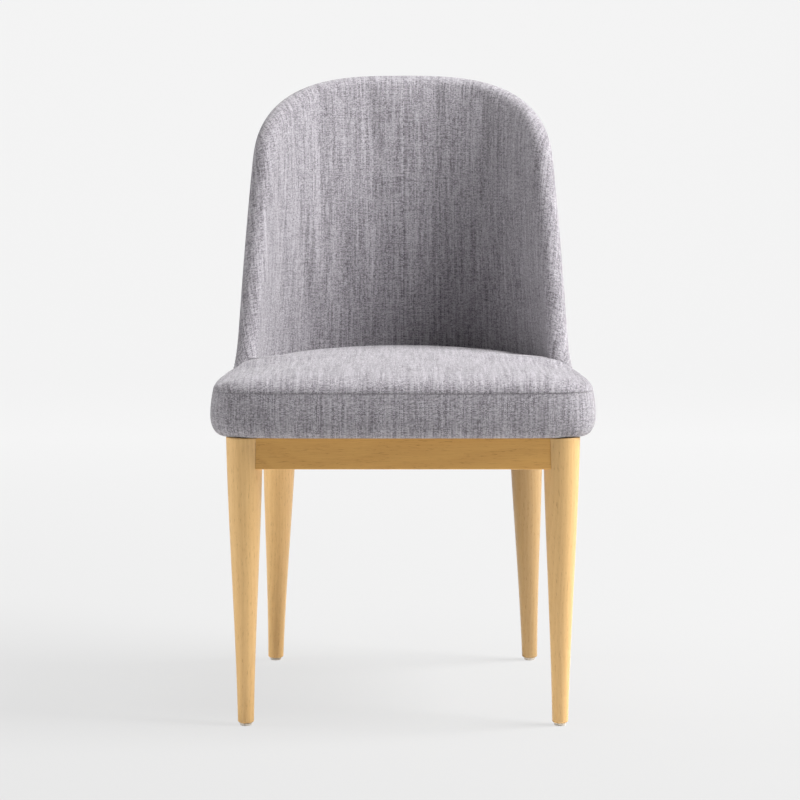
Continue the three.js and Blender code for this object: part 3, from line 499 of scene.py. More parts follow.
@dataclass(frozen=True)
class Moulded:
    """A plain moulded, spun or plated finish with a fine uneven surface."""

    name: str
    colour: Colour
    worn: Colour
    roughness: float
    metallic: float = 0.0
    speck: float = millimetres(0.6)
    relief: float = millimetres(0.05)

    def material(self) -> bpy.types.Material:
        """Makes the finish's material.

        Returns:
            The material.
        """
        material, t, shader = new_material(self.name, self.roughness, Metallic=self.metallic)
        place, broad_scale, smoother, rougher = t.object_place(), 60.0, 0.8, 1.25
        fine, broad = t.noise(place, 1 / self.speck, 3.0), t.noise(place, broad_scale, 2.0)
        smooth, rough = self.roughness * smoother, min(self.roughness * rougher, 1.0)
        t.feed(shader.inputs["Base Color"], t.tint(t.band(fine, 0.35, 0.7), self.colour, self.worn))
        t.feed(shader.inputs["Roughness"], t.blend(broad, smooth, rough))
        add_bump(t, shader, fine, self.relief, 0.5)
        return material


class Finish(Enum):
    """The chair's finishes."""

    # The cloth's third colour is the painted shade between its threads.
    CLOTH = WovenCloth("Grey heathered cloth", paint(94, 89, 95), paint(197, 193, 199), paint(50, 46, 50))
    THREAD = Moulded("Sewing thread", paint(150, 144, 151), paint(176, 171, 177), 0.8)
    TIMBER = Timber("Pale hardwood", paint(217, 179, 122), paint(200, 156, 97), paint(160, 116, 66))
    RAIL_TIMBER = Timber("Pale hardwood rail", paint(214, 165, 93), paint(190, 139, 72), paint(150, 102, 48))
    PLYWOOD = Timber("Plywood", paint(214, 186, 140), paint(196, 161, 112), paint(150, 114, 72),
                     roughness=0.7, from_map=False)
    BARE_TIMBER = Timber("Unlacquered wood", paint(212, 180, 132), paint(190, 152, 101),
                         paint(146, 108, 66), roughness=0.7, from_map=False)
    NYLON = Moulded("Off-white nylon", paint(226, 222, 213), paint(214, 209, 198), 0.45)
    ZINC = Moulded("Bright zinc", paint(190, 192, 196), paint(168, 171, 177), 0.35, metallic=1.0)
    DUST_CLOTH = Moulded("Black non-woven cloth", paint(34, 34, 36), paint(52, 52, 55), 0.95,
                         speck=millimetres(0.9), relief=millimetres(0.2))

    @cached_property
    def material(self) -> bpy.types.Material:
        """The material, made when it is first asked for."""
        return self.value.material()


# Meshes


@dataclass
class Skin:
    """A surface: its points, where each lies on the cloth, and the faces between them."""

    points: Array
    places: Array
    faces: list[Face]

    def open_edges(self) -> list[tuple[int, int]]:
        """Finds the edges that only one face uses.

        Returns:
            Each edge in its face's direction.
        """
        edges = {}
        for corners in self.faces:
            for edge in zip(corners, corners[1:] + corners[:1]):
                edges[edge] = True
        return [edge for edge in edges if edge[::-1] not in edges]

    def backed_by(self, inner: Array) -> Skin:
        """Closes this skin with an inner one that has the same faces.

        Args:
            inner: One inner point for each point of this skin.

        Returns:
            The closed skin.
        """
        shift = len(self.points)
        faces = list(self.faces)
        faces += [tuple(shift + corner for corner in reversed(corners)) for corners in self.faces]
        faces += [(end, start, shift + start, shift + end) for start, end in self.open_edges()]
        return Skin(np.vstack((self.points, inner)), np.vstack((self.places, self.places)), faces)

    def volume(self) -> float:
        """Measures what the faces enclose.

        Returns:
            Six times the volume, below zero where the faces point inwards.
        """
        total = 0.0
        for corners in self.faces:
            fan = self.points[list(corners)]
            total += float(np.sum(np.cross(fan[1:-1], fan[2:]) @ fan[0]))
        return total

    def build(self, name: str) -> bpy.types.Object:
        """Makes a smooth object with its faces out.

        Args:
            name: The new object's name.

        Returns:
            The object, linked to the scene.
        """
        faces = self.faces if self.volume() > 0 else [corners[::-1] for corners in self.faces]
        mesh = bpy.data.meshes.new(name)
        mesh.from_pydata(self.points.tolist(), [], faces)
        layer = mesh.uv_layers.new(name=CLOTH_MAP)
        layer.data.foreach_set("uv", self.places[np.concatenate(faces)].ravel())
        mesh.polygons.foreach_set("use_smooth", np.ones(len(faces), dtype=bool))
        mesh.update()
        return add_object(name, mesh)


def grid_faces(rows: int, columns: int, first: int = 0, closed: bool = False) -> list[Face]:
    """Lists the faces of a grid whose points are numbered row by row.

    Args:
        rows: How many rows of points it has.
        columns: How many points each row has.
        first: The first point's index.
        closed: Whether each row is a loop.

    Returns:
        The faces' corners.
    """
    faces = []
    for row in range(rows - 1):
        for column in range(columns if closed else columns - 1):
            after = (column + 1) % columns
            low, high = first + row * columns, first + (row + 1) * columns
            faces.append((low + column, low + after, high + after, high + column))
    return faces


def store(mesh: bpy.types.Mesh, name: str, values: Array) -> None:
    """Stores a number or a vector for each point of a mesh.

    Args:
        mesh: The mesh.
        name: The attribute's name.
        values: One number for each point, or one row of three.
    """
    kind, member = ("FLOAT", "value") if values.ndim == 1 else ("FLOAT_VECTOR", "vector")
    layer = mesh.attributes.new(name, kind, "POINT")
    layer.data.foreach_set(member, values.astype(np.float32).ravel())


def vertex_places(mesh: bpy.types.Mesh) -> Array:
    """Returns a mesh's points."""
    return np.array([tuple(vertex.co) for vertex in mesh.vertices])


def dress(mesh: bpy.types.Mesh, finish: Finish) -> None:
    """Makes a finish the only material of a mesh."""
    mesh.materials.clear()
    mesh.materials.append(finish.material)


def finish_piece(piece: bpy.types.Object, finish: Finish, stands_for: Sequence[str] = ()) -> None:
    """Gives a piece its material and its body, and hides the CAD nodes that it replaces.

    Args:
        piece: The finished object.
        finish: Its finish.
        stands_for: The CAD nodes that it replaces.
    """
    dress(piece.data, finish)
    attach(piece, "root")
    if stands_for:
        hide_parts(*stands_for)
    log.info("%s: %d faces", piece.name, len(piece.data.polygons))


def apply_modifiers(piece: bpy.types.Object) -> None:
    """Turns what a piece's modifiers make into its own mesh, and removes them.

    Args:
        piece: The object with modifiers.
    """
    graph = bpy.context.evaluated_depsgraph_get()
    result = bpy.data.meshes.new_from_object(piece.evaluated_get(graph), depsgraph=graph)
    old = piece.data
    piece.modifiers.clear()
    piece.data = result
    bpy.data.meshes.remove(old)
    result.name = piece.name


def subdivide(piece: bpy.types.Object, levels: int = 1) -> None:
    """Smooths a piece by subdividing its mesh.

    Args:
        piece: The object.
        levels: How many times each face is split.
    """
    modifier = piece.modifiers.new("Smoothing", "SUBSURF")
    modifier.levels = levels
    modifier.render_levels = levels
    apply_modifiers(piece)


@dataclass(frozen=True)
class Stuffing:
    """How firmly the filling pushes a cover out."""

    pressure: float = 4.0
    reach: float = millimetres(5)
    frames: int = 20
    quality: int = 6
    mass: float = 0.3
    stiffness: float = 18.0
    bending: float = 1.5
    damping: float = 2.0

    def settings(self) -> dict[str, float | bool]:
        """Lists the cloth's settings.

        Returns:
            Blender's cloth settings by name.
        """
        return {
            "quality": self.quality, "mass": self.mass, "tension_stiffness": self.stiffness,
            "compression_stiffness": self.stiffness, "shear_stiffness": self.stiffness / 2,
            "bending_stiffness": self.bending, "air_damping": self.damping, "use_pressure": True,
            "uniform_pressure_force": self.pressure, "shrink_min": 0.0, "pin_stiffness": 1.0,
        }

    def swell(self, piece: bpy.types.Object, held: Sequence[float]) -> None:
        """Runs a cloth simulation with the filling's pressure and keeps its result.

        Args:
            piece: The closed cover.
            held: For each point, 1 where it can't move and 0 where it is free.
        """
        rest = vertex_places(piece.data)
        group = piece.vertex_groups.new(name="Held")
        for index, weight in enumerate(held):
            if weight > 0:
                group.add([index], weight, "REPLACE")
        modifier = piece.modifiers.new("Cover", "CLOTH")
        for name, value in self.settings().items():
            setattr(modifier.settings, name, value)
        modifier.settings.vertex_group_mass = group.name
        modifier.settings.effector_weights.gravity = 0
        modifier.collision_settings.use_collision = False
        modifier.point_cache.frame_start = 1
        modifier.point_cache.frame_end = self.frames
        scene = bpy.context.scene
        for number in range(1, self.frames + 1):
            scene.frame_set(number)
        graph = bpy.context.evaluated_depsgraph_get()
        shift = vertex_places(piece.evaluated_get(graph).data) - rest
        piece.modifiers.clear()
        piece.vertex_groups.clear()
        scene.frame_set(1)
        length = np.linalg.norm(shift, axis=1, keepdims=True)
        capped = self.reach * np.tanh(length / self.reach)
        shift *= capped / np.maximum(length, 1e-9)
        piece.data.vertices.foreach_set("co", (rest + shift).ravel())
        piece.data.update()
        log.info("%s: cover moved up to %.1f mm", piece.name, float(capped.max()) / MILLIMETRE)


# What repeats along a path


@cache
def path_loops_group() -> bpy.types.NodeTree:
    """Builds the node tree that sets small bent loops along a path.

    Returns:
        A geometry node group. It stands each loop up in the direction that the path's points store.
    """
    inputs = {
        "Path": ("Geometry", None), "Spacing": ("Float", None), "Length": ("Float", None),
        "Radius": ("Float", None), "Rise": ("Float", None), "Wander": ("Float", None), "Seed": ("Int", None),
        "Material": ("Material", None),
    }
    t, given, result = new_group("Loops along a path", "GeometryNodeTree", inputs, {"Loops": "Geometry"})
    curve = t.node("GeometryNodeMeshToCurve", {"Mesh": given["Path"]}).outputs["Curve"]
    spaced = t.node("GeometryNodeResampleCurve", {"Curve": curve, "Length": given["Spacing"]}, mode="LENGTH")

    facing = t.node("GeometryNodeInputNamedAttribute", {"Name": FACING}, data_type="FLOAT_VECTOR")
    upright = t.node("FunctionNodeAlignRotationToVector", {"Vector": facing.outputs["Attribute"]}, axis="Z")
    tangent = t.node("GeometryNodeInputTangent").outputs["Tangent"]
    aligned = {"Rotation": upright.outputs["Rotation"], "Vector": tangent}
    along = t.node("FunctionNodeAlignRotationToVector", aligned, axis="X", pivot_axis="Z")
    least, most = t.math("MULTIPLY", given["Wander"], -1.0), given["Wander"]
    chance = t.node("FunctionNodeRandomValue", {2: least, 3: most, "Seed": given["Seed"]}, data_type="FLOAT")
    turn = t.node("FunctionNodeAxisAngleToRotation", {"Axis": (0.0, 0.0, 1.0), "Angle": chance.outputs[1]})
    rotations = {"Rotation": along.outputs["Rotation"], "Rotate By": turn.outputs["Rotation"]}
    rotation = t.node("FunctionNodeRotateRotation", rotations, rotation_space="LOCAL").outputs["Rotation"]

    copies = t.node("GeometryNodeInstanceOnPoints", {
        "Points": spaced.outputs["Curve"], "Instance": bent_loop(t, given), "Rotation": rotation})
    real = t.node("GeometryNodeRealizeInstances", {"Geometry": copies.outputs["Instances"]})
    dressed = t.node("GeometryNodeSetMaterial", {
        "Geometry": real.outputs["Geometry"], "Material": given["Material"]})
    t.feed(result["Loops"], dressed.outputs["Geometry"])
    return t.tree


def bent_loop(t: NodeBuilder, given: bpy.types.NodeOutputs) -> Socket:
    """Adds the nodes of one loop, whose two ends dip below the path.

    Args:
        t: The tree's builder.
        given: What the tree is given.

    Returns:
        The loop's mesh.
    """
    steps, rise = 8, given["Rise"]
    half = t.math("MULTIPLY", given["Length"], 0.5)
    other, dip = t.math("MULTIPLY", half, -1.0), t.math("MULTIPLY", rise, -1.0)
    bend = t.node("GeometryNodeCurvePrimitiveBezierSegment", {
        "Resolution": steps, "Start": t.combine(other, 0.0, dip), "Start Handle": t.combine(other, 0.0, rise),
        "End Handle": t.combine(half, 0.0, rise), "End": t.combine(half, 0.0, dip)}, mode="POSITION")
    section = t.node("GeometryNodeCurvePrimitiveCircle", {
        "Resolution": steps, "Radius": given["Radius"]}, mode="RADIUS")
    solid = t.node("GeometryNodeCurveToMesh", {
        "Curve": bend.outputs["Curve"], "Profile Curve": section.outputs["Curve"], "Fill Caps": True})
    return t.node("GeometryNodeSetShadeSmooth", {"Geometry": solid.outputs["Mesh"]}).outputs["Geometry"]


@dataclass(frozen=True)
class PathRepeat:
    """Small thread or wire loops, spaced along a path."""

    finish: Finish
    spacing: float
    length: float
    radius: float
    rise: float
    wander: float = math.radians(3)
    seed: int = 7

    def build(self, name: str, path: Array, facing: Array, closed: bool) -> bpy.types.Object:
        """Makes the loops along a path, as a plain mesh.

        Args:
            name: The new object's name.
            path: The path's points.
            facing: For each point, the direction in which the loops stand up.
            closed: Whether the path ends where it starts.

        Returns:
            The loops.
        """
        count = len(path)
        edges = [(i, (i + 1) % count) for i in range(count if closed else count - 1)]
        mesh = bpy.data.meshes.new(name)
        mesh.from_pydata(path.tolist(), edges, [])
        store(mesh, FACING, facing)
        piece = add_object(name, mesh)
        modifier = piece.modifiers.new("Loops", "NODES")
        modifier.node_group = path_loops_group()
        values = {"Spacing": self.spacing, "Length": self.length, "Radius": self.radius, "Rise": self.rise,
                  "Wander": self.wander, "Seed": self.seed, "Material": self.finish.material}
        for socket in modifier.node_group.interface.items_tree:
            if socket.in_out == "INPUT" and socket.name in values:
                modifier[socket.identifier] = values[socket.name]
        apply_modifiers(piece)
        return piece


# The padded back


@dataclass(frozen=True)
class GridPlaces:
    """Places on the back's outer face: how far round and how high they are."""

    turn: Array
    height: Array


@dataclass(frozen=True)
class BackForm:
    """The back's outer face, whose width, depth, wings and opening angle change with height."""

    foot_height: float = millimetres(381.6)
    bend_height: float = millimetres(446.3)
    half_width: float = millimetres(229.8)
    narrowing: float = millimetres(21.5)
    shoulder_rise: float = millimetres(297)
    taper_power: float = 1.3
    foot_flare: float = millimetres(4)
    flare_height: float = millimetres(20)
    rear_depth: float = millimetres(460)
    recline: float = 0.158
    recline_bend: float = millimetres(120)
    wing_depth: float = millimetres(247)
    wing_sweep: float = millimetres(28)
    sweep_height: float = millimetres(40)
    wing_slope: float = 0.36
    section_power: float = 2.3
    wing_opening: float = math.radians(32)
    opening_height: float = millimetres(130)
    dome_height: float = millimetres(110)
    dome_power: float = 2.9
    crest_height: float = millimetres(829.28)
    nose_radius: float = millimetres(15.3)
    swell: float = millimetres(5)
    half_columns: int = 32
    wall_rows: int = 34
    dome_rows: int = 14

    @property
    def dome_base(self) -> float:
        """The height at which the straight sides end."""
        return self.crest_height - self.dome_height

    def rise(self, height: Array) -> Array:
        """Returns how far above the foot's bend a height is."""
        return np.maximum(height - self.bend_height, 0.0)

    def sweep(self, height: Array) -> Array:
        """Returns how far the wing's edge has swept back above the seat."""
        return self.wing_sweep * (1 - np.exp(-self.rise(height) / self.sweep_height))

    def sideways(self, angle: Array) -> Array:
        """Returns the rounded-square section's sideways share."""
        return np.maximum(np.sin(angle), 0.0) ** (2 / self.section_power)

    def depthwise(self, angle: Array) -> Array:
        """Returns the rounded-square section's depthwise share."""
        return np.maximum(np.cos(angle), 0.0) ** (2 / self.section_power)

    def spread(self, height: Array) -> Array:
        """Returns the section's angle at the wing's edge."""
        return QUARTER_TURN - self.wing_opening * (1 - np.exp(-self.rise(height) / self.opening_height))

    def face(self, turn: Array, height: Array) -> Array:
        """Places points on the outer face.

        Args:
            turn: How far round they are, from -1 at the left wing's edge to 1 at the right one's.
            height: How high they are.

        Returns:
            The points.
        """
        rise = self.rise(height)
        half = self.half_width - self.narrowing * (rise / self.shoulder_rise) ** self.taper_power
        half = half + self.foot_flare * np.exp(-rise / self.flare_height)
        bent = np.minimum(rise, self.recline_bend)
        rear = self.rear_depth + self.recline * (bent * bent / (2 * self.recline_bend) + rise - bent)
        edge = self.wing_depth + self.sweep(height)
        edge = edge + self.wing_slope * rise
        spread = self.spread(height)
        angle = np.abs(turn) * spread
        x = np.sign(turn) * half * self.sideways(angle) / self.sideways(spread)
        y = rear - (rear - edge) * (1 - self.depthwise(angle)) / (1 - self.depthwise(spread))
        return np.stack((x, y + LEG_AXIS_DEPTH, height), axis=-1)

    def directions(self, turn: Array, height: Array) -> tuple[Array, Array, Array]:
        """Finds the face's own directions.

        Args:
            turn: How far round the places are.
            height: How high they are.

        Returns:
            The directions to the right along the face, up along it and out of it.
        """
        turn_step, height_step = 0.001, millimetres(0.5)
        ahead, behind = np.minimum(turn + turn_step, 1), np.maximum(turn - turn_step, -1)
        right = unit(self.face(ahead, height) - self.face(behind, height))
        climb = self.face(turn, height + height_step) - self.face(turn, height - height_step)
        out = unit(np.cross(climb, right))
        return right, unit(np.cross(right, out)), out

    def under(self, turn: Array, height: Array, depth: float) -> Array:
        """Returns points at a depth below the outer face."""
        _, _, out = self.directions(turn, height)
        return self.face(turn, height) - out * depth

    def dome(self, angle: Array) -> GridPlaces:
        """Follows the rounded top outline.

        Args:
            angle: From 0 where it leaves the straight side to a right angle at the crest.

        Returns:
            The places.
        """
        width = np.maximum(np.cos(angle), 0.0) ** (2 / self.dome_power)
        height = self.dome_base + self.dome_height * np.sin(angle) ** (2 / self.dome_power)
        spread = self.spread(height)
        sine = (width * self.sideways(spread)) ** (self.section_power / 2)
        return GridPlaces(np.arcsin(np.minimum(sine, 1.0)) / spread, height)

    def stations(self) -> GridPlaces:
        """Lists where the grid's rows start on the side edge, from the foot to the dome's corner.

        Returns:
            The places. The foot's rows lie closer together where the closing strip ends.
        """
        foot = np.array([381.6, 388.0, 395.0, 401.6, 402.6, 409.0, 416.5, 424.0, 431.5, 439.0]) * MILLIMETRE
        wall = np.linspace(self.bend_height, self.dome_base, self.wall_rows)
        dome = self.dome(np.linspace(0.0, QUARTER_TURN / 2, self.dome_rows + 1)[1:])
        height = np.concatenate((foot, wall, dome.height))
        turn = np.concatenate((np.ones(len(foot) + len(wall)), dome.turn))
        return GridPlaces(turn, height)

    def grid(self) -> GridPlaces:
        """Spreads the grid between its edges, with rows that bend into the dome's outline.

        Returns:
            The whole grid's places, row by row.
        """
        rows = self.stations()
        row_turn, row_height = rows.turn[:, None], rows.height[:, None]
        side = np.linspace(-1.0, 1.0, self.half_columns * 2 + 1)[None, :]
        out_share = np.abs(side)
        corner = self.dome(np.array(QUARTER_TURN / 2))
        share = (row_height - self.foot_height) / (corner.height - self.foot_height)
        crest = self.dome(QUARTER_TURN * (1 - out_share / 2))
        turn = out_share * row_turn + share * (crest.turn - out_share * corner.turn)
        middle = mix(self.foot_height, self.crest_height, share)
        straight = mix(self.crest_height, corner.height, out_share)
        height = mix(middle, row_height, out_share) + share * (crest.height - straight)
        return GridPlaces(np.sign(side) * turn, height)


class RimmedGrid:
    """The back's grid with the loop round its free edge, and the skins that can be drawn over it."""

    def __init__(self, form: BackForm, rim_steps: int = 12) -> None:
        """Works out every place of the grid.

        Args:
            form: The back's shape.
            rim_steps: How many faces go round the rolled rim.
        """
        self.form = form
        self.rim_steps = rim_steps
        grid = form.grid()
        self.rows, self.columns = grid.height.shape
        self.turn, self.height = grid.turn.ravel(), grid.height.ravel()
        self.point = form.face(self.turn, self.height)
        self.right, self.climb, self.out = form.directions(self.turn, self.height)
        climb_share = np.clip((self.height - form.bend_height) / (form.crest_height - form.bend_height), 0, 1)
        self.swell = form.swell * np.sin(math.pi * climb_share) ** 2 * (1 - self.turn ** 2)
        self.loop = self.free_edge()
        edge_points = self.point[self.loop]
        before = edge_points[np.maximum(np.arange(len(self.loop)) - 1, 0)]
        after = edge_points[np.minimum(np.arange(len(self.loop)) + 1, len(self.loop) - 1)]
        self.edge = unit(np.cross(after - before, self.out[self.loop]))

    def free_edge(self) -> Array:
        """Walks up the left side, across the crest and down the right side.

        Returns:
            The indexes of the points there.
        """
        last = self.rows - 1
        left = [row * self.columns for row in range(self.rows)]
        top = [last * self.columns + column for column in range(1, self.columns)]
        right = [row * self.columns + self.columns - 1 for row in range(last - 1, -1, -1)]
        return np.array(left + top + right)

    def cloth_places(self, depth: float) -> Array:
        """Lays the skin at a depth flat.

        Args:
            depth: The skin's depth below the outer face.

        Returns:
            For each grid place, how far it is from the middle and from the foot, along the cloth.
        """
        form, samples = self.form, 41
        turns = np.linspace(0.0, 1.0, samples)[:, None] * self.turn[None, :]
        heights = np.broadcast_to(self.height, turns.shape)
        runs = form.under(turns, heights, depth)
        length = np.linalg.norm(np.diff(runs, axis=0), axis=-1).sum(axis=0)
        length = length + form.sweep(self.height) * np.abs(self.turn) ** 3
        slope = math.hypot(1.0, form.recline)
        return np.stack((np.sign(self.turn) * length, (self.height - form.foot_height) * slope), axis=-1)

    def rim(self, radius: Array | float, angle: float) -> Array:
        """Places the loop's points round the rim.

        Args:
            radius: How far from the rim's core they are.
            angle: From 0 at the inner face to pi at the outer face.

        Returns:
            The points.
        """
        out = self.out[self.loop]
        centre = self.point[self.loop] - out * self.form.nose_radius
        return centre - out * radius * math.cos(angle) + self.edge * radius * math.sin(angle)

    def faces(self) -> list[Face]:
        """Lists the grid's faces and the rim's.

        Returns:
            The faces' corners.
        """
        faces = grid_faces(self.rows, self.columns)
        count = len(self.loop)
        rings = [list(self.loop)]
        for ring in range(self.rim_steps):
            start = self.rows * self.columns + ring * count
            rings.append(list(range(start, start + count)))
        for low, high in zip(rings, rings[1:]):
            faces += zip(low, low[1:], high[1:], high)
        return faces


@dataclass
class PaddedBack:
    """The back's upholstery: a soft inner panel drawn round the rim, and a thin outer panel sewn to it."""

    form: BackForm = field(default_factory=BackForm)
    thickness: float = millimetres(30.6)
    cover: float = millimetres(1.2)
    pad_back_depth: float = millimetres(15.1)
    strip_top: float = millimetres(402.2)
    lip: float = millimetres(3.4)
    outer_thickness: float = millimetres(5.4)
    seam_dip: float = millimetres(1.3)
    seam_width: float = millimetres(7)
    firm_height: float = millimetres(40)
    rim_hold: float = 0.35
    stuffing: Stuffing = Stuffing()

    @cached_property
    def grid(self) -> RimmedGrid:
        """The grid that both panels follow."""
        return RimmedGrid(self.form)

    def inner_skin(self) -> Skin:
        """Builds the inner panel with its padding.

        Returns:
            The closed skin. Its first half is the side that shows.
        """
        grid, nose = self.grid, self.form.nose_radius
        depth = self.thickness + grid.swell
        shown = [grid.point - grid.out * depth[:, None]]
        below_strip = grid.height < self.strip_top
        backing_depth = np.where(below_strip, self.thickness - self.cover, self.pad_back_depth)
        backing = [grid.point - grid.out * backing_depth[:, None]]
        places = grid.cloth_places(self.thickness)
        flat = [places]
        loop_out, loop_low = grid.out[grid.loop], below_strip[grid.loop]
        flat_edge = [(grid.edge * along[grid.loop]).sum(-1) for along in (grid.right, grid.climb)]
        flat_edge = np.stack(flat_edge, axis=-1)
        for step in range(1, grid.rim_steps + 1):
            share = step / grid.rim_steps
            dip = self.seam_dip * max(0.0, share * 5 - 4) ** 2
            shown.append(grid.rim(nose - dip, math.pi * share))
            padded = grid.point[grid.loop] - loop_out * mix(self.pad_back_depth, self.lip, share)
            padded += grid.edge * GAP
            thin = grid.rim(nose - self.cover, math.pi * share)
            backing.append(np.where(loop_low[:, None], thin, padded))
            flat.append(places[grid.loop] + flat_edge * nose * math.pi * share)
        return Skin(np.vstack(shown), np.vstack(flat), grid.faces()).backed_by(np.vstack(backing))

    def firmness(self, count: int) -> Array:
        """Tells how firmly the inner panel is held: fully at its foot and behind, less towards its front.

        Args:
            count: How many points the panel has.

        Returns:
            For each point, 1 where it can't move and 0 where it is free.
        """
        grid = self.grid
        held = np.ones(count)
        near_foot = 1 - np.clip((grid.height - self.form.bend_height) / self.firm_height, 0, 1)
        start, ring = len(grid.height), len(grid.loop)
        held[:start] = near_foot
        for step in range(1, grid.rim_steps):
            share = min(1.0, self.rim_hold + (1 - self.rim_hold) * (step / grid.rim_steps) ** 2)
            held[start:start + ring] = np.maximum(share, near_foot[grid.loop])
            start += ring
        return held

    def build_inner(self) -> None:
        """Makes the inner panel, swollen by its padding."""
        skin = self.inner_skin()
        piece = skin.build("Back_padding")
        self.stuffing.swell(piece, self.firmness(len(skin.points)))
        subdivide(piece)
        finish_piece(piece, Finish.CLOTH, ("back_inner_cover", "back_inner_foam"))

    def outer_skin(self) -> Skin:
        """Builds the outer panel with its thin padding, drawn in along the seam.

        Returns:
            The closed skin.
        """
        grid = self.grid
        places = grid.cloth_places(0.0)
        from_edge = np.linalg.norm(places[:, None, :] - places[grid.loop][None, :, :], axis=-1).min(axis=1)
        dip = self.seam_dip * np.clip(1 - from_edge / self.seam_width, 0, 1) ** 2
        setback, gap_share = np.zeros_like(grid.point), 0.4
        setback[grid.loop] = grid.edge * (-gap_share * GAP)
        shown = grid.point - grid.out * dip[:, None] + setback
        backing = grid.point - grid.out * self.outer_thickness + setback
        return Skin(shown, places, grid_faces(grid.rows, grid.columns)).backed_by(backing)

    def build_outer(self) -> None:
        """Makes the outer panel."""
        piece = self.outer_skin().build("Back_outer_panel")
        subdivide(piece)
        finish_piece(piece, Finish.CLOTH, ("back_outer_cover", "back_outer_foam"))

    def build_stitches(self) -> None:
        """Makes the slip stitches that close the seam between the panels."""
        grid = self.grid
        out, depth_share = grid.out[grid.loop], 0.8
        path = grid.point[grid.loop] - out * self.seam_dip * depth_share
        stitches = PathRepeat(Finish.THREAD, spacing=millimetres(6), length=millimetres(3.4),
                              radius=millimetres(0.3), rise=millimetres(0.4), wander=math.radians(8))
        piece = stitches.build("Back_stitches", path, out, closed=False)
        finish_piece(piece, Finish.THREAD)

    def build(self) -> None:
        """Makes the whole back."""
        self.build_inner()
        self.build_outer()
        self.build_stitches()


# The seat cushion


@dataclass
class SeatOutline:
    """The seat's outline from above: evenly spaced points with their inward directions and fullness.

    The fullness is 1 along the front and the sides, where the edge bulges, and 0 where it meets the back.
    """

    point: Array
    inward: Array
    fullness: Array

    @property
    def count(self) -> int:
        """How many points the outline has."""
        return len(self.point)

    @cached_property
    def arc(self) -> Array:
        """Measures along the outline.

        Returns:
            How far each point is from the front's middle: left of it is below zero.
        """
        steps = np.linalg.norm(np.roll(self.point, -1, axis=0) - self.point, axis=-1)
        run = np.concatenate(([0.0], np.cumsum(steps)[:-1]))
        return np.where(np.arange(self.count) > self.count // 2, run - steps.sum(), run)


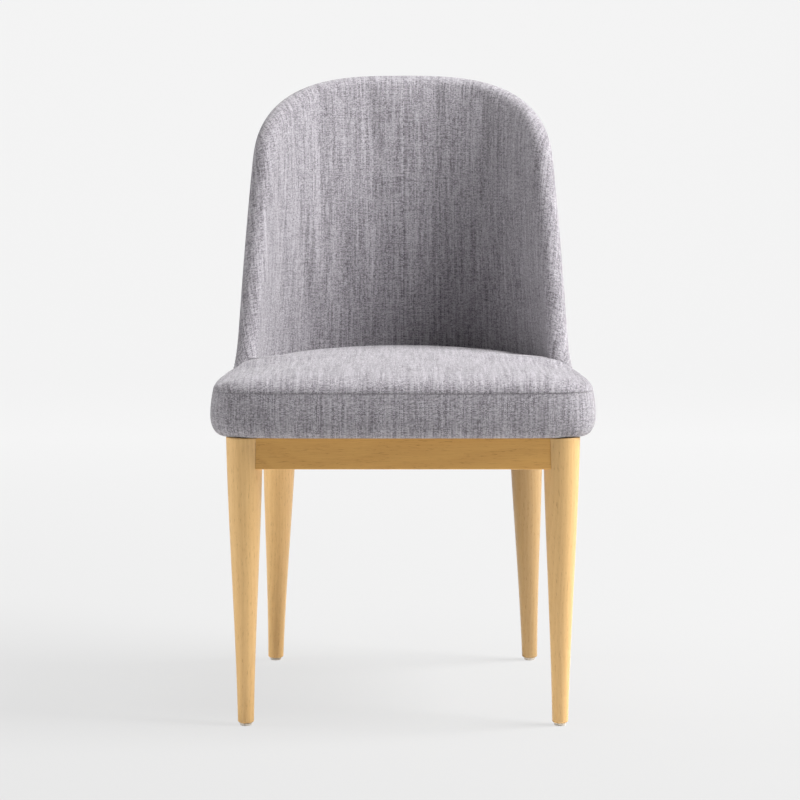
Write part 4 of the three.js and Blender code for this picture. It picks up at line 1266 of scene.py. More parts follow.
@dataclass(frozen=True)
class SeatForm:
    """The boxed cushion's shape."""

    back: BackForm = field(default_factory=BackForm)
    half_width: float = millimetres(252.6)
    overhang: float = millimetres(38)
    side_power: float = 6.0
    widest_depth: float = millimetres(90)
    side_taper: float = millimetres(5)
    shoulder_radius: float = millimetres(40)
    bottom: float = millimetres(381.3)
    border_height: float = millimetres(58.2)
    widest_share: float = 0.4
    foot_roll: float = millimetres(16)
    front_foot_roll: float = millimetres(11)
    top_roll: float = millimetres(3.5)
    seam_draw: float = millimetres(1.1)
    rear_draw_share: float = 0.3
    seam_gap: float = millimetres(0.1)
    front_reach: float = millimetres(120)
    front_roll_width: float = millimetres(27)
    front_roll_height: float = millimetres(19)
    side_roll_width: float = millimetres(40)
    side_roll_height: float = millimetres(12)
    rear_roll_width: float = millimetres(5)
    rear_roll_height: float = millimetres(15)
    rear_rise: float = millimetres(6)
    nook_rise: float = millimetres(8)
    nook_reach: float = millimetres(34)
    crown_height: float = millimetres(25)
    lip: float = millimetres(1.8)
    fold: float = millimetres(30)
    rear_fold: float = millimetres(12)
    cover: float = millimetres(1.2)
    board_top: float = millimetres(401.1)
    board_inset: float = millimetres(20)
    board_rear_inset: float = millimetres(6)
    back_thickness: float = millimetres(30.6)
    back_gap: float = millimetres(0.6)
    eighth: int = 30

    @property
    def seam(self) -> float:
        """The seam's height."""
        return self.bottom + self.border_height

    def nose_centre(self) -> Array:
        """Returns the middle of the right wing's rounded nose at its foot, seen from above."""
        wing = self.back.face(np.array([1.0]), np.array([self.back.foot_height]))[0]
        return wing[:2] - np.array([self.back.nose_radius, LEG_AXIS_DEPTH])

    def half_path(self) -> tuple[Array, Array]:
        """Follows the right half of the outline from the front's middle to the rear's.

        Returns:
            Closely spaced points, with depths from the front legs' axes, and their fullness.
        """
        front_steps, side_steps, rear_steps = 400, 60, 200
        angle, power = np.linspace(0, QUARTER_TURN, front_steps), 2 / self.side_power
        front_reach = self.widest_depth + self.overhang
        front = np.stack((self.half_width * np.sin(angle) ** power,
                          self.widest_depth - front_reach * np.cos(angle).clip(0) ** power), -1)

        centre = self.nose_centre()
        reach = self.back.nose_radius + self.back_gap
        shoulder = np.array([self.half_width - self.side_taper - self.shoulder_radius,
                             centre[1] - reach - self.shoulder_radius])
        share = np.linspace(0, 1, side_steps)[1:]
        side = np.stack((self.half_width - self.side_taper * share ** 2,
                         mix(self.widest_depth, shoulder[1], share)), -1)
        turn, nose = share * QUARTER_TURN, QUARTER_TURN * (1 - share)
        round_shoulder = shoulder + self.shoulder_radius * np.stack((np.cos(turn), np.sin(turn)), -1)
        round_nose = centre + reach * np.stack((-np.cos(nose), -np.sin(nose)), -1)

        turns = np.linspace(1, 0, rear_steps)[1:]
        heights = np.full_like(turns, self.back.foot_height)
        rear = self.back.under(turns, heights, self.back_thickness + self.back_gap)
        rear[:, 1] -= LEG_AXIS_DEPTH
        path = np.vstack((front, side, round_shoulder, round_nose, rear[:, :2]))
        full, empty = np.ones(len(front) + len(side)), np.zeros(len(share) + len(turns))
        return path, np.concatenate((full, 1 - share, empty))

    def outline(self) -> SeatOutline:
        """Spaces points evenly round the whole outline, anticlockwise from the front's middle.

        Returns:
            The outline.
        """
        path, fullness = self.half_path()
        run = np.concatenate(([0.0], np.cumsum(np.linalg.norm(np.diff(path, axis=0), axis=-1))))
        even = np.linspace(0, run[-1], self.eighth * 4 + 1)
        half = np.stack((np.interp(even, run, path[:, 0]), np.interp(even, run, path[:, 1])), -1)
        full = np.interp(even, run, fullness)
        mirrored = half[1:-1][::-1] * np.array([-1.0, 1.0])
        points = np.vstack((half, mirrored))
        points[0, 0] = points[self.eighth * 4, 0] = 0.0
        tangent = unit(np.roll(points, -1, axis=0) - points) + unit(points - np.roll(points, 1, axis=0))
        tangent = unit(tangent)
        inward = np.stack((-tangent[:, 1], tangent[:, 0]), -1)
        return SeatOutline(points, inward, np.concatenate((full, full[1:-1][::-1])))

    def frontness(self, outline: SeatOutline) -> Array:
        """Returns how much each outline point belongs to the front edge, from 0 to 1."""
        behind = np.clip((outline.point[:, 1] + self.overhang) / self.front_reach, 0, 1)
        return (1 - behind) ** 2

    def draw(self, fullness: Array) -> Array:
        """Returns how far the seam is drawn in."""
        return self.seam_draw * (self.rear_draw_share + (1 - self.rear_draw_share) * fullness)

    def fold_inset(self, fullness: Array) -> Array:
        """Returns how far in the border's fold ends under the board."""
        return mix(self.rear_fold, self.foot_roll + self.fold, fullness ** 2)

    def border(self, outline: SeatOutline) -> list[tuple[Array, Array]]:
        """Rolls the border from its fold under the board up to the seam.

        Args:
            outline: The seat's outline.

        Returns:
            The insets and the heights of each ring: 2 flat, 9 round the foot, 6 up the side, 4 into the seam.
        """
        fullness = outline.fullness
        foot = mix(self.foot_roll, self.front_foot_roll, self.frontness(outline)) * fullness
        top = self.top_roll * fullness
        widest = self.border_height * self.widest_share
        fold = self.fold_inset(fullness)
        rings = [(fold, 0.0), (mix(fold, foot, 0.5), 0.0)]
        for angle in np.linspace(0, QUARTER_TURN, 9):
            rings.append((foot * (1 - math.sin(angle)), widest * (1 - math.cos(angle))))
        rise = self.border_height - widest - self.lip
        for share in np.linspace(0, 1, 7)[1:]:
            rings.append((top * share ** 2, widest + rise * share))
        for angle in (25, 50, 75, 90):
            turn = math.radians(angle)
            rings.append((top + self.draw(fullness) * (1 - math.cos(turn)),
                          self.border_height - self.lip + (self.lip - self.seam_gap) * math.sin(turn)))
        return [(inset + 0 * fullness, self.bottom + height + 0 * fullness) for inset, height in rings]

    def panel(self, outline: SeatOutline) -> list[tuple[Array, Array]]:
        """Rolls the top panel's edge from the seam to where the crown begins.

        Args:
            outline: The seat's outline.

        Returns:
            The insets and the heights of each ring: 2 out of the seam and 10 round the roll.
        """
        fullness, front = outline.fullness, self.frontness(outline)
        x, y = outline.point.T
        width = mix(self.side_roll_width, self.front_roll_width, front)
        width = mix(self.rear_roll_width, width, fullness)
        rear_height = self.rear_roll_height + self.rear_rise * (1 - (x / self.half_width) ** 2) ** 2
        nose = self.nose_centre()
        from_nose = np.hypot(np.abs(x) - nose[0], y - nose[1])
        rear_height = rear_height + self.nook_rise * np.exp(-(from_nose / self.nook_reach) ** 2)
        rise = mix(self.side_roll_height, self.front_roll_height, front)
        rise = mix(rear_height, rise, fullness)

        start, draw = self.top_roll * fullness, self.draw(fullness)
        low_rise, least_rise, lead, first_angle = millimetres(0.6), millimetres(1.6), millimetres(0.3), 0.12
        rings = [(start + draw, self.seam_gap + 0 * rise), (start + draw * 0.3, low_rise + 0 * rise)]
        for angle in np.linspace(first_angle, QUARTER_TURN, 10):
            share, lift = 1 - math.cos(angle), math.sin(angle)
            rings.append((start + (width - lead) * share, np.maximum(rise * lift, least_rise)))
        return [(inset, self.seam + height) for inset, height in rings]


@dataclass
class SeatCushion:
    """The seat's foam and cover as one soft, closed piece."""

    form: SeatForm = field(default_factory=SeatForm)
    stuffing: Stuffing = Stuffing()

    @cached_property
    def outline(self) -> SeatOutline:
        """The outline that every ring follows."""
        return self.form.outline()

    def ring(self, inset: Array | float, height: Array | float) -> Array:
        """Draws the outline in, at a height.

        Args:
            inset: How far in each point lies.
            height: How high each point lies.

        Returns:
            The ring's points.
        """
        flat = self.outline.point + self.outline.inward * np.reshape(inset, (-1, 1))
        heights = np.broadcast_to(height, (len(flat),))
        return np.column_stack((flat[:, 0], flat[:, 1] + LEG_AXIS_DEPTH, heights))

    def centre(self) -> Array:
        """Returns the middle of the crown, seen from above."""
        rear = self.outline.point[:, 1].max()
        return np.array([0.0, (rear - self.form.overhang) / 2 + LEG_AXIS_DEPTH])

    def filled(self, edge: Array, crown: float | None) -> tuple[Array, list[Face]]:
        """Fills a ring with a grid of squares, so that no point has too many neighbours.

        Args:
            edge: The ring's points.
            crown: The height that the middle rises to, or None for a middle as high as the edge.

        Returns:
            The points inside the ring, and faces whose negative corners count the ring's own points.
        """
        size, middle = self.form.eighth, self.centre()
        index: dict[tuple[int, int], int] = {}
        points = []
        for ring in range(size + 1):
            spots = square_ring(ring)
            for step, spot in enumerate(spots):
                if ring == size:
                    index[spot] = -1 - step
                    continue
                share = ring / size
                place = step / len(spots) * len(edge)
                low = int(place) % len(edge)
                edge_point = edge[low] * (1 - place % 1) + edge[(low + 1) % len(edge)] * (place % 1)
                flat = middle + (edge_point[:2] - middle) * share
                height = edge_point[2] if crown is None else mix(edge_point[2], crown, 1 - share ** 2)
                index[spot] = len(points)
                points.append((flat[0], flat[1], float(height)))
        faces = []
        for i in range(-size, size):
            for j in range(-size, size):
                faces.append(tuple(index[spot] for spot in ((i, j), (i + 1, j), (i + 1, j + 1), (i, j + 1))))
        return np.array(points), faces

    def rings(self) -> tuple[list[Array], list[float], int]:
        """Stacks the rings from the foam's foot on the board, round the border and over the top's edge.

        Returns:
            The rings, how firmly each is held, and the first ring of the top panel.
        """
        form, outline = self.form, self.outline
        board = mix(form.board_rear_inset, form.board_inset, outline.fullness) - GAP
        under = form.bottom + form.cover
        insets = [(board, form.board_top), (board, mix(form.board_top, under, 0.5)),
                  (board, under + GAP), (board, under), (form.fold_inset(outline.fullness), under)]
        held = [1.0] * (len(insets) + 3)
        held += [*np.linspace(0.8, 0.3, 8), *np.linspace(0.25, 0.5, 6), 0.8, 0.95, 1.0, 1.0]
        insets += form.border(outline)
        seam_ring = len(insets)
        panel = form.panel(outline)
        held += [1.0, 0.9, *np.linspace(0.6, 0.0, len(panel) - 2)]
        return [self.ring(inset, height) for inset, height in insets + panel], held, seam_ring

    def cloth_places(self, rings: list[Array], seam_ring: int) -> list[Array]:
        """Lays the cover flat: the border as a band, and the top panel as seen from above.

        Args:
            rings: The cushion's rings.
            seam_ring: The first ring of the top panel.

        Returns:
            For each ring, its points' places on the cloth.
        """
        steps = [np.linalg.norm(after - before, axis=-1) for before, after in zip(rings, rings[1:])]
        lengths = np.cumsum([np.zeros(self.outline.count)] + steps, axis=0)
        places = [np.column_stack((self.outline.arc, length)) for length in lengths[:seam_ring]]
        for length in lengths[seam_ring:]:
            left = (lengths[-1] - length)[:, None]
            places.append(rings[-1][:, :2] - self.outline.inward * left)
        return places

    def skin(self) -> tuple[Skin, Array]:
        """Builds the whole cushion.

        Returns:
            The closed skin, and how firmly each point is held.
        """
        form, count, held_rings = self.form, self.outline.count, 4
        rings, held, seam_ring = self.rings()
        cloth = self.cloth_places(rings, seam_ring)
        faces = grid_faces(len(rings), count, closed=True)
        points = list(np.vstack(rings))
        firmness = np.repeat(np.array(held), count)
        rear_held = np.tile(1 - np.clip(self.outline.fullness * 4, 0, 1), len(rings))
        low = np.repeat(np.arange(len(rings)) < len(rings) - held_rings, count)
        firm = [np.where(low, np.maximum(firmness, rear_held), firmness)]
        ends = ((len(rings) - 1, form.seam + form.crown_height, 0.0), (0, None, 1.0))
        for ring_number, crown, firm_here in ends:
            inside, inside_faces = self.filled(rings[ring_number], crown)
            first = len(points)
            points.extend(inside)
            for corners in inside_faces:
                real = tuple(first + c if c >= 0 else ring_number * count + (-1 - c) for c in corners)
                faces.append(real if ring_number else real[::-1])
            cloth.append(inside[:, :2])
            firm.append(np.full(len(inside), firm_here))
        return Skin(np.array(points), np.vstack(cloth), faces), np.concatenate(firm)

    def build(self) -> None:
        """Makes the cushion, swollen by its foam."""
        skin, held = self.skin()
        piece = skin.build("Seat_cushion")
        self.stuffing.swell(piece, held)
        subdivide(piece)
        finish_piece(piece, Finish.CLOTH, ("seat_foam", "seat_top_cover", "seat_border_cover"))


def square_ring(size: int) -> list[tuple[int, int]]:
    """Walks round a square of grid spots, anticlockwise from the middle of its lower side.

    Args:
        size: Half the square's side.

    Returns:
        The spots.
    """
    if size == 0:
        return [(0, 0)]
    spots = [(i, -size) for i in range(0, size)]
    spots += [(size, j) for j in range(-size, size)]
    spots += [(i, size) for i in range(size, -size, -1)]
    spots += [(-size, j) for j in range(size, -size, -1)]
    spots += [(i, -size) for i in range(-size, 0)]
    return spots


# The wood frame and its glides


def capped_rings(rings: Sequence[Array]) -> Skin:
    """Joins rings of points into a closed skin with a middle point at each end.

    Args:
        rings: The rings, from one end to the other, all with as many points.

    Returns:
        The closed skin.
    """
    count = len(rings[0])
    faces = grid_faces(len(rings), count, closed=True)
    total = len(rings) * count
    last = total - count
    for i in range(count):
        after = (i + 1) % count
        faces.append((after, i, total))
        faces.append((last + i, last + after, total + 1))
    ends = np.array([rings[0].mean(axis=0), rings[-1].mean(axis=0)])
    points = np.vstack((*rings, ends))
    return Skin(points, points[:, :2].copy(), faces)


def slice_at(height: float, flat: Array) -> Array:
    """Returns points seen from above as points at one height."""
    return np.column_stack((flat, np.full(len(flat), height)))


@dataclass(frozen=True)
class Leg:
    """A turned leg: it narrows to the foot, and both its ends are cut level."""

    name: str
    top: tuple[float, float]
    foot: tuple[float, float]
    top_radius: float
    foot_radius: float
    top_height: float = millimetres(381)
    foot_height: float = millimetres(4)
    foot_chamfer: float = millimetres(1.5)
    top_chamfer: float = millimetres(0.8)
    ease: float = 0.5
    sides: int = 72
    # Painted light and shade on the whole leg: above zero lightens its colour, below zero darkens it.
    painted_lighting: float = 0.0

    def share(self, height: Array | float) -> Array:
        """Returns how far up the leg a height is, from 0 to 1."""
        return (np.asarray(height) - self.foot_height) / (self.top_height - self.foot_height)

    def centre(self, height: Array | float) -> Array:
        """Returns where the axis is at a height, seen from above."""
        return mix(np.array(self.foot), np.array(self.top), self.share(height)[..., None])

    def radius(self, height: Array | float) -> Array:
        """Finds the radius, which swells a little more in the middle than a plain cone's.

        Args:
            height: The height.

        Returns:
            The radius there.
        """
        share = self.share(height)
        eased = share * share * (3 - 2 * share)
        return mix(self.foot_radius, self.top_radius, mix(share, eased, self.ease))

    def ring(self, height: float, shrink: float = 0.0) -> Array:
        """Cuts a level slice of the leg, which is longer along the lean.

        Args:
            height: The slice's height.
            shrink: How much is taken off its radius.

        Returns:
            The slice's points.
        """
        lean = np.append(np.array(self.top) - np.array(self.foot), self.top_height - self.foot_height)
        flat = math.hypot(lean[0], lean[1])
        stretch = math.hypot(flat, lean[2]) / lean[2]
        toward = lean[:2] / flat if flat > 0 else np.array([1.0, 0.0])
        aside = np.array([-toward[1], toward[0]])
        cosine, sine = circle(self.sides)
        radius = self.radius(height) - shrink
        offset = np.outer(cosine * radius * stretch, toward) + np.outer(sine * radius, aside)
        return slice_at(height, self.centre(height) + offset)

    def entry(self, point: Array, direction: Array, height: Array) -> Array:
        """Finds where level lines that start inside the leg leave it, with room for a joint.

        Args:
            point: The lines' start points, seen from above.
            direction: The lines' direction, seen from above.
            height: The lines' heights.

        Returns:
            How far along each line its exit is.
        """
        away = point - self.centre(height)
        along = away @ direction
        reach = self.radius(height) + JOINT_GAP
        inside = np.maximum(along ** 2 - (away ** 2).sum(axis=-1) + reach ** 2, 0.0)
        return -along + np.sqrt(inside)

    def grain_shift(self) -> Array:
        """Works out where in its board the leg is cut, so that no two legs look alike.

        Returns:
            How far the grain is moved.
        """
        boards, scatter, board_step, depth_share = 5, 7000, np.array([0.11, 0.05, 0.0]), 0.4
        board = int(round(self.top[0] * scatter)) % boards
        return board_step * board + np.array([0.0, self.top[1] * depth_share, 0.0])

    def build(self) -> None:
        """Makes the leg."""
        low, high = self.foot_height, self.top_height
        heights = [low + self.foot_chamfer, low + self.foot_chamfer * 1.4,
                   *np.linspace(low + millimetres(8), high - millimetres(4), 28),
                   high - self.top_chamfer * 1.4, high - self.top_chamfer]
        ends = self.ring(low, self.foot_chamfer), self.ring(high, self.top_chamfer)
        skin = capped_rings([ends[0], *map(self.ring, heights), ends[1]])
        piece = skin.build(self.name.title())
        from_axis = skin.points[:, :2] - self.centre(skin.points[:, 2])
        local = np.column_stack((from_axis, skin.points[:, 2]))
        store(piece.data, GRAIN_PLACE, local + self.grain_shift())
        # The leg's painted light and shade goes with its points.
        store(piece.data, PAINTED_SIDE_LIGHTING, np.full(len(skin.points), self.painted_lighting))
        finish_piece(piece, Finish.TIMBER, (self.name,))


@dataclass(frozen=True)
class Rail:
    """A straight rail whose shoulders fit the round legs."""

    name: str
    start: Leg
    end: Leg
    outward: tuple[float, float]
    thickness: float = millimetres(22)
    height: float = millimetres(41)
    setback: float = millimetres(5.4)
    edge: float = millimetres(1.1)
    edge_steps: int = 3
    side_steps: int = 9

    def section(self) -> tuple[Array, Array]:
        """Draws the section with softened edges.

        Returns:
            The section's offsets from its middle, and its heights.
        """
        half, top = self.thickness / 2, self.start.top_height
        bottom = top - self.height
        corners = ((half, bottom, -90), (half, top, 0), (-half, top, 90), (-half, bottom, 180))
        outline = []
        for x, z, first in corners:
            inward = self.edge if z == bottom else -self.edge
            middle = np.array([x - math.copysign(self.edge, x), z + inward])
            for angle in np.radians(np.linspace(first, first + 90, self.edge_steps + 1)):
                outline.append(middle + self.edge * np.array([math.cos(angle), math.sin(angle)]))
        offsets, heights = np.array(outline).T
        return self.filled_in(offsets), self.filled_in(heights)

    def filled_in(self, values: Array) -> Array:
        """Adds values between the section's corners, so that its ends can follow a round leg.

        Args:
            values: The corners' offsets or heights.

        Returns:
            The offsets or heights of the whole section.
        """
        run = self.edge_steps + 1
        filled = []
        for corner in range(4):
            piece = values[corner * run:(corner + 1) * run]
            following = values[(corner + 1) * run % len(values)]
            filled += [piece, np.linspace(piece[-1], following, self.side_steps + 1)[1:-1]]
        return np.concatenate(filled)

    def build(self) -> None:
        """Makes the rail."""
        middle_height = self.start.top_height - self.height / 2
        side = np.array(self.outward)
        shift = side * (self.start.top_radius - self.setback - self.thickness / 2)
        start, end = self.start.centre(middle_height) + shift, self.end.centre(middle_height) + shift
        run = (end - start) / np.linalg.norm(end - start)
        across_run = np.array([-run[1], run[0]])
        offsets, heights = self.section()
        first, last = start + np.outer(offsets, across_run), end + np.outer(offsets, across_run)
        near = first + np.outer(self.start.entry(first, run, heights), run)
        far = last - np.outer(self.end.entry(last, -run, heights), run)
        end_share = 0.02
        skin = capped_rings([np.column_stack((mix(near, far, share), heights))
                             for share in (0.0, end_share, 0.5, 1 - end_share, 1.0)])
        piece = skin.build(self.name.title())
        flat = skin.points[:, :2] - start
        local = np.column_stack((flat @ across_run, skin.points[:, 2], flat @ run))
        board_step = np.array([0.07, 0.03, 0.2])
        store(piece.data, GRAIN_PLACE, local + board_step * (1 + abs(side[0]) + side.sum()))
        for polygon in piece.data.polygons:
            if len(polygon.vertices) == 3:
                polygon.use_smooth = False
        piece.modifiers.new("Even faces", "WEIGHTED_NORMAL").keep_sharp = True
        finish_piece(piece, Finish.RAIL_TIMBER, (self.name,))


@dataclass(frozen=True)
class Glide:
    """A round plastic glide under a leg."""

    number: int
    centre: tuple[float, float]
    radius: float = millimetres(7.8)
    height: float = millimetres(3.7)
    rounding: float = millimetres(1.2)
    chamfer: float = millimetres(0.4)
    sides: int = 48

    def build(self) -> None:
        """Makes the glide."""
        inner = self.radius - self.rounding
        profile = [(inner * 0.5, 0.0), (inner, 0.0)]
        for angle in np.linspace(0, QUARTER_TURN, 7)[1:]:
            profile.append((inner + self.rounding * math.sin(angle), self.rounding * (1 - math.cos(angle))))
        profile += [(self.radius, self.height - self.chamfer), (self.radius - self.chamfer, self.height)]
        around = np.column_stack(circle(self.sides))
        rings = [slice_at(height, around * radius + np.array(self.centre)) for radius, height in profile]
        piece = capped_rings(rings).build(f"Foot_glide_{self.number}")
        finish_piece(piece, Finish.NYLON, (f"foot_glide_{self.number}",))


@dataclass(frozen=True)
class WoodFrame:
    """Four legs, four rails and four glides."""

    front_top: tuple[float, float] = (millimetres(206), 0.0)
    rear_top: tuple[float, float] = (millimetres(174), millimetres(375))
    rear_foot: tuple[float, float] = (millimetres(185), millimetres(458))
    front_radii: tuple[float, float] = (millimetres(24), millimetres(10.5))
    rear_radii: tuple[float, float] = (millimetres(25), millimetres(11))
    # Painted light and shade on the legs: the front pair a little lighter, the left legs lighter than the
    # right ones, the rear pair most.
    front_painted_lighting: float = 0.05
    front_painted_lighting_spread: float = 0.06
    rear_painted_lighting_spread: float = 0.34

    def legs(self) -> dict[str, Leg]:
        """Places the legs.

        Returns:
            The legs by their CAD names.
        """
        legs = []
        for side_name, side in (("left", -1), ("right", 1)):
            front, top, foot = ((side * x, y + LEG_AXIS_DEPTH) for x, y in (
                self.front_top, self.rear_top, self.rear_foot))
            legs.append(Leg(f"front_{side_name}_leg", front, front, *self.front_radii,
                            painted_lighting=self.front_painted_lighting - side * self.front_painted_lighting_spread))
            legs.append(Leg(f"rear_{side_name}_leg", top, foot, *self.rear_radii,
                            painted_lighting=-side * self.rear_painted_lighting_spread))
        return {leg.name: leg for leg in legs}

    def rails(self, legs: dict[str, Leg]) -> list[Rail]:
        """Places the rails.

        Args:
            legs: The legs by their CAD names.

        Returns:
            The rails between them.
        """
        front_left, rear_left, front_right, rear_right = legs.values()
        return [
            Rail("front_rail", front_left, front_right, (0.0, -1.0)),
            Rail("rear_rail", rear_left, rear_right, (0.0, 1.0)),
            Rail("left_rail", front_left, rear_left, (-1.0, 0.0)),
            Rail("right_rail", front_right, rear_right, (1.0, 0.0)),
        ]

    def build(self) -> None:
        """Makes the frame."""
        legs = self.legs()
        for piece in (*legs.values(), *self.rails(legs)):
            piece.build()
        for number, leg in enumerate(legs.values(), start=1):
            Glide(number, leg.foot).build()


class Fittings:
    """The small and hidden parts that keep their CAD meshes."""

    FINISHES = {
        "corner_block": Finish.BARE_TIMBER, "seat_board": Finish.PLYWOOD, "back_shell": Finish.PLYWOOD,
        "back_foot_strip": Finish.PLYWOOD, "block_screw": Finish.ZINC, "seat_screw": Finish.ZINC,
        "seat_nut": Finish.ZINC, "back_bolt": Finish.ZINC, "back_nut": Finish.ZINC,
    }

    def build(self) -> None:
        """Gives each of them its finish."""
        for name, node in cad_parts.items():
            for prefix, finish in self.FINISHES.items():
                if name.startswith(prefix):
                    dress(node.data, finish)
                    log.info("%s: %s", name, finish.value.name)


# The underside


@dataclass
class Underside:
    """The black cloth under the seat board, with its staples."""

    cushion: SeatCushion
    top: float = millimetres(382.4)
    thickness: float = millimetres(0.6)
    sag: float = millimetres(2.5)
    edge_gap: float = millimetres(1)
    nook_limit: float = millimetres(190)
    flat: tuple[float, float] = (0.42, 0.42)
    staple_inset: float = millimetres(5)
    staple_sink: float = millimetres(0.2)
    rings: int = 14

    def edge(self, extra: float) -> Array:
        """Draws the cloth's edge, without the nooks beside the wings.

        Args:
            extra: How much further in than the cloth's edge the points lie.

        Returns:
            The points seen from above.
        """
        form, outline = self.cushion.form, self.cushion.outline
        inset = form.fold_inset(outline.fullness) + self.edge_gap + extra
        flat = outline.point + outline.inward * inset[:, None]
        flat[:, 1] += LEG_AXIS_DEPTH
        front, rear = outline.fullness > 0.999, outline.fullness < 0.001
        return flat[front | (rear & (np.abs(outline.point[:, 0]) < self.nook_limit))]

    def build_cloth(self) -> None:
        """Makes the cloth, stretched and hanging a little in its middle."""
        edge = self.edge(0.0)
        count, middle = len(edge), edge.mean(axis=0)
        rings = []
        for ring in range(self.rings, 0, -1):
            share = ring / self.rings
            drop = self.sag * (1 - share ** 2) ** 2
            rings.append(slice_at(self.top - drop, middle + (edge - middle) * share))
        points = np.vstack((*rings, [[*middle, self.top - self.sag]]))
        faces = grid_faces(self.rings, count, closed=True)
        start = (self.rings - 1) * count
        faces += [(start + i, start + (i + 1) % count, len(points) - 1) for i in range(count)]
        lower = points - np.array([0.0, 0.0, self.thickness])
        piece = Skin(points, points[:, :2].copy(), faces).backed_by(lower).build("Dust_cloth")
        finish_piece(piece, Finish.DUST_CLOTH, ("seat_dust_cover",))

    def build_staples(self) -> None:
        """Makes the row of staples round the cloth's edge."""
        path = slice_at(self.top - self.thickness - self.staple_sink, self.edge(self.staple_inset))
        down = np.tile((0.0, 0.0, -1.0), (len(path), 1))
        staples = PathRepeat(Finish.ZINC, spacing=millimetres(34), length=millimetres(10),
                             radius=millimetres(0.45), rise=millimetres(0.8), wander=math.radians(6))
        piece = staples.build("Staples", path, down, closed=True)
        finish_piece(piece, Finish.ZINC)

    def build(self) -> None:
        """Makes the underside."""
        self.build_cloth()
        self.build_staples()


# Light, backdrop and camera


@dataclass(frozen=True)
class Lamp:
    """One square soft studio light, aimed at the chair."""

    name: str
    place: tuple[float, float, float]
    power: float
    aim: tuple[float, float, float] = (0.0, 0.0, 0.55)
    size: float = 1.6

    def build(self) -> None:
        """Makes the light."""
        light = bpy.data.lights.new(self.name, "AREA")
        light.size = self.size
        light.energy = self.power
        lamp = add_object(self.name, light)
        lamp.location = self.place
        direction = Vector(self.aim) - Vector(self.place)
        lamp.rotation_euler = direction.to_track_quat("-Z", "Y").to_euler()


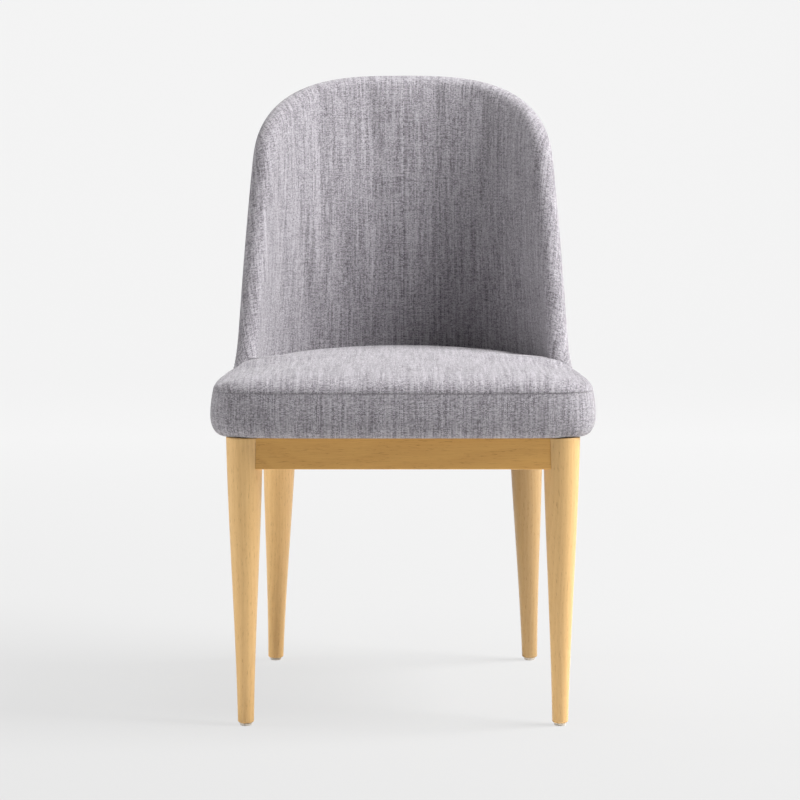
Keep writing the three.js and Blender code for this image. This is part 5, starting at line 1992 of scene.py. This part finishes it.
@dataclass(frozen=True)
class Studio:
    """A white cove, soft lights and the camera."""

    depth: float = 6.0
    half_width: float = 6.0
    front: float = -6.0
    height: float = 5.0
    cove_radius: float = 1.6
    cove_steps: int = 24
    shadow_share: float = 0.106
    near_depth: float = -0.4
    far_depth: float = 3.0
    # The glow's painted shade in front of the chair, and its bright tone behind it.
    near_painted_shade: Colour = (0.75, 0.75, 0.75, 1.0)
    far_tone: Colour = (0.965, 0.965, 0.965, 1.0)
    surround: Colour = paint(246, 247, 248)
    surround_strength: float = 0.02
    lamps: tuple[Lamp, ...] = (
        Lamp("Right key", (2.098, -0.314, 2.671), 193.0),
        Lamp("Right edge", (2.808, 0.246, 1.576), 20.0),
        Lamp("Left fill", (-2.900, -0.254, 1.276), 48.0),
        Lamp("Overhead", (0.0, -0.261, 3.539), 34.0),
    )

    def material(self) -> bpy.types.Material:
        """Makes the cove's white finish, which the camera sees as a glow with painted shade towards the
        front.

        Returns:
            The material.
        """
        material, t, shader = new_material("Studio white", 0.85)
        grain = t.noise(t.object_place(), 3.0, 2.0)
        t.feed(shader.inputs["Base Color"], t.tint(grain, paint(243, 243, 243), paint(240, 240, 240)))
        # Painted shade: the glow darkens from the far tone behind the chair to the near painted shade in
        # front of it.
        depth = t.split(t.object_place())[1]
        limits = {"Value": depth, "From Min": self.near_depth, "From Max": self.far_depth}
        far = t.node("ShaderNodeMapRange", limits).outputs["Result"]
        painted_lighting = t.tint(far, self.near_painted_shade, self.far_tone)
        glow = t.node("ShaderNodeEmission", {"Color": painted_lighting, "Strength": 1.0})
        camera_ray = t.node("ShaderNodeLightPath").outputs["Is Camera Ray"]
        seen = t.math("MULTIPLY", camera_ray, 1 - self.shadow_share)
        blend = t.node("ShaderNodeMixShader", {0: seen, 1: shader.outputs[0], 2: glow.outputs[0]})
        t.feed(material.node_tree.nodes["Material Output"].inputs["Surface"], blend.outputs[0])
        return material

    def cove(self) -> None:
        """Makes the floor that curves up into the backdrop."""
        bend = self.depth - self.cove_radius
        profile = [(self.front, 0.0), (bend, 0.0)]
        for step in range(1, self.cove_steps + 1):
            angle = QUARTER_TURN * step / self.cove_steps
            profile.append((self.depth - self.cove_radius * (1 - math.sin(angle)),
                            self.cove_radius * (1 - math.cos(angle))))
        profile.append((self.depth, self.height))
        points = [(side * self.half_width, y, z) for side in (-1, 1) for y, z in profile]
        count = len(profile)
        faces = [(i, count + i, count + i + 1, i + 1) for i in range(count - 1)]
        mesh = bpy.data.meshes.new("Studio_cove")
        mesh.from_pydata(points, [], faces)
        mesh.polygons.foreach_set("use_smooth", np.ones(len(faces), dtype=bool))
        mesh.materials.append(self.material())
        cove = add_object("Studio_cove", mesh)
        cove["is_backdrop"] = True

    def world(self) -> None:
        """Sets a plain, even surrounding light."""
        world = bpy.data.worlds.new("Studio surround")
        world.use_nodes = True
        background = world.node_tree.nodes["Background"]
        background.inputs["Color"].default_value = self.surround
        background.inputs["Strength"].default_value = self.surround_strength
        bpy.context.scene.world = world

    def build(self) -> None:
        """Makes the cove, the lights and the surrounding light."""
        self.cove()
        for lamp in self.lamps:
            lamp.build()
        self.world()
        bpy.context.scene.view_settings.view_transform = "Standard"


@dataclass(frozen=True)
class Viewpoint:
    """The camera that sees the chair as the photo does."""

    place: tuple[float, float, float] = (-0.004, -4.2465, 0.85)
    tilt: float = math.radians(84)
    lens: float = 139.86
    sensor: float = 36.0

    def build(self) -> None:
        """Makes the camera and makes it the scene's camera."""
        data = bpy.data.cameras.new("Camera")
        data.lens = self.lens
        data.sensor_width = self.sensor
        data.dof.use_dof = False
        camera = add_object("Camera", data)
        camera.location = self.place
        camera.rotation_euler = (self.tilt, 0.0, 0.0)
        bpy.context.scene.camera = camera


def main() -> None:
    """Builds the chair's looks, the studio and the camera."""
    logging.basicConfig(level=logging.INFO, format="%(name)s: %(message)s")
    cushion = SeatCushion()
    for part in (PaddedBack(), cushion, Underside(cushion), WoodFrame(), Fittings(), Studio(), Viewpoint()):
        part.build()
    sizes = {"before": [list(corner) for corner in (cad_low, cad_high)],
             "after": [list(corner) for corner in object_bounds()]}


if __name__ == "__main__":
    main()
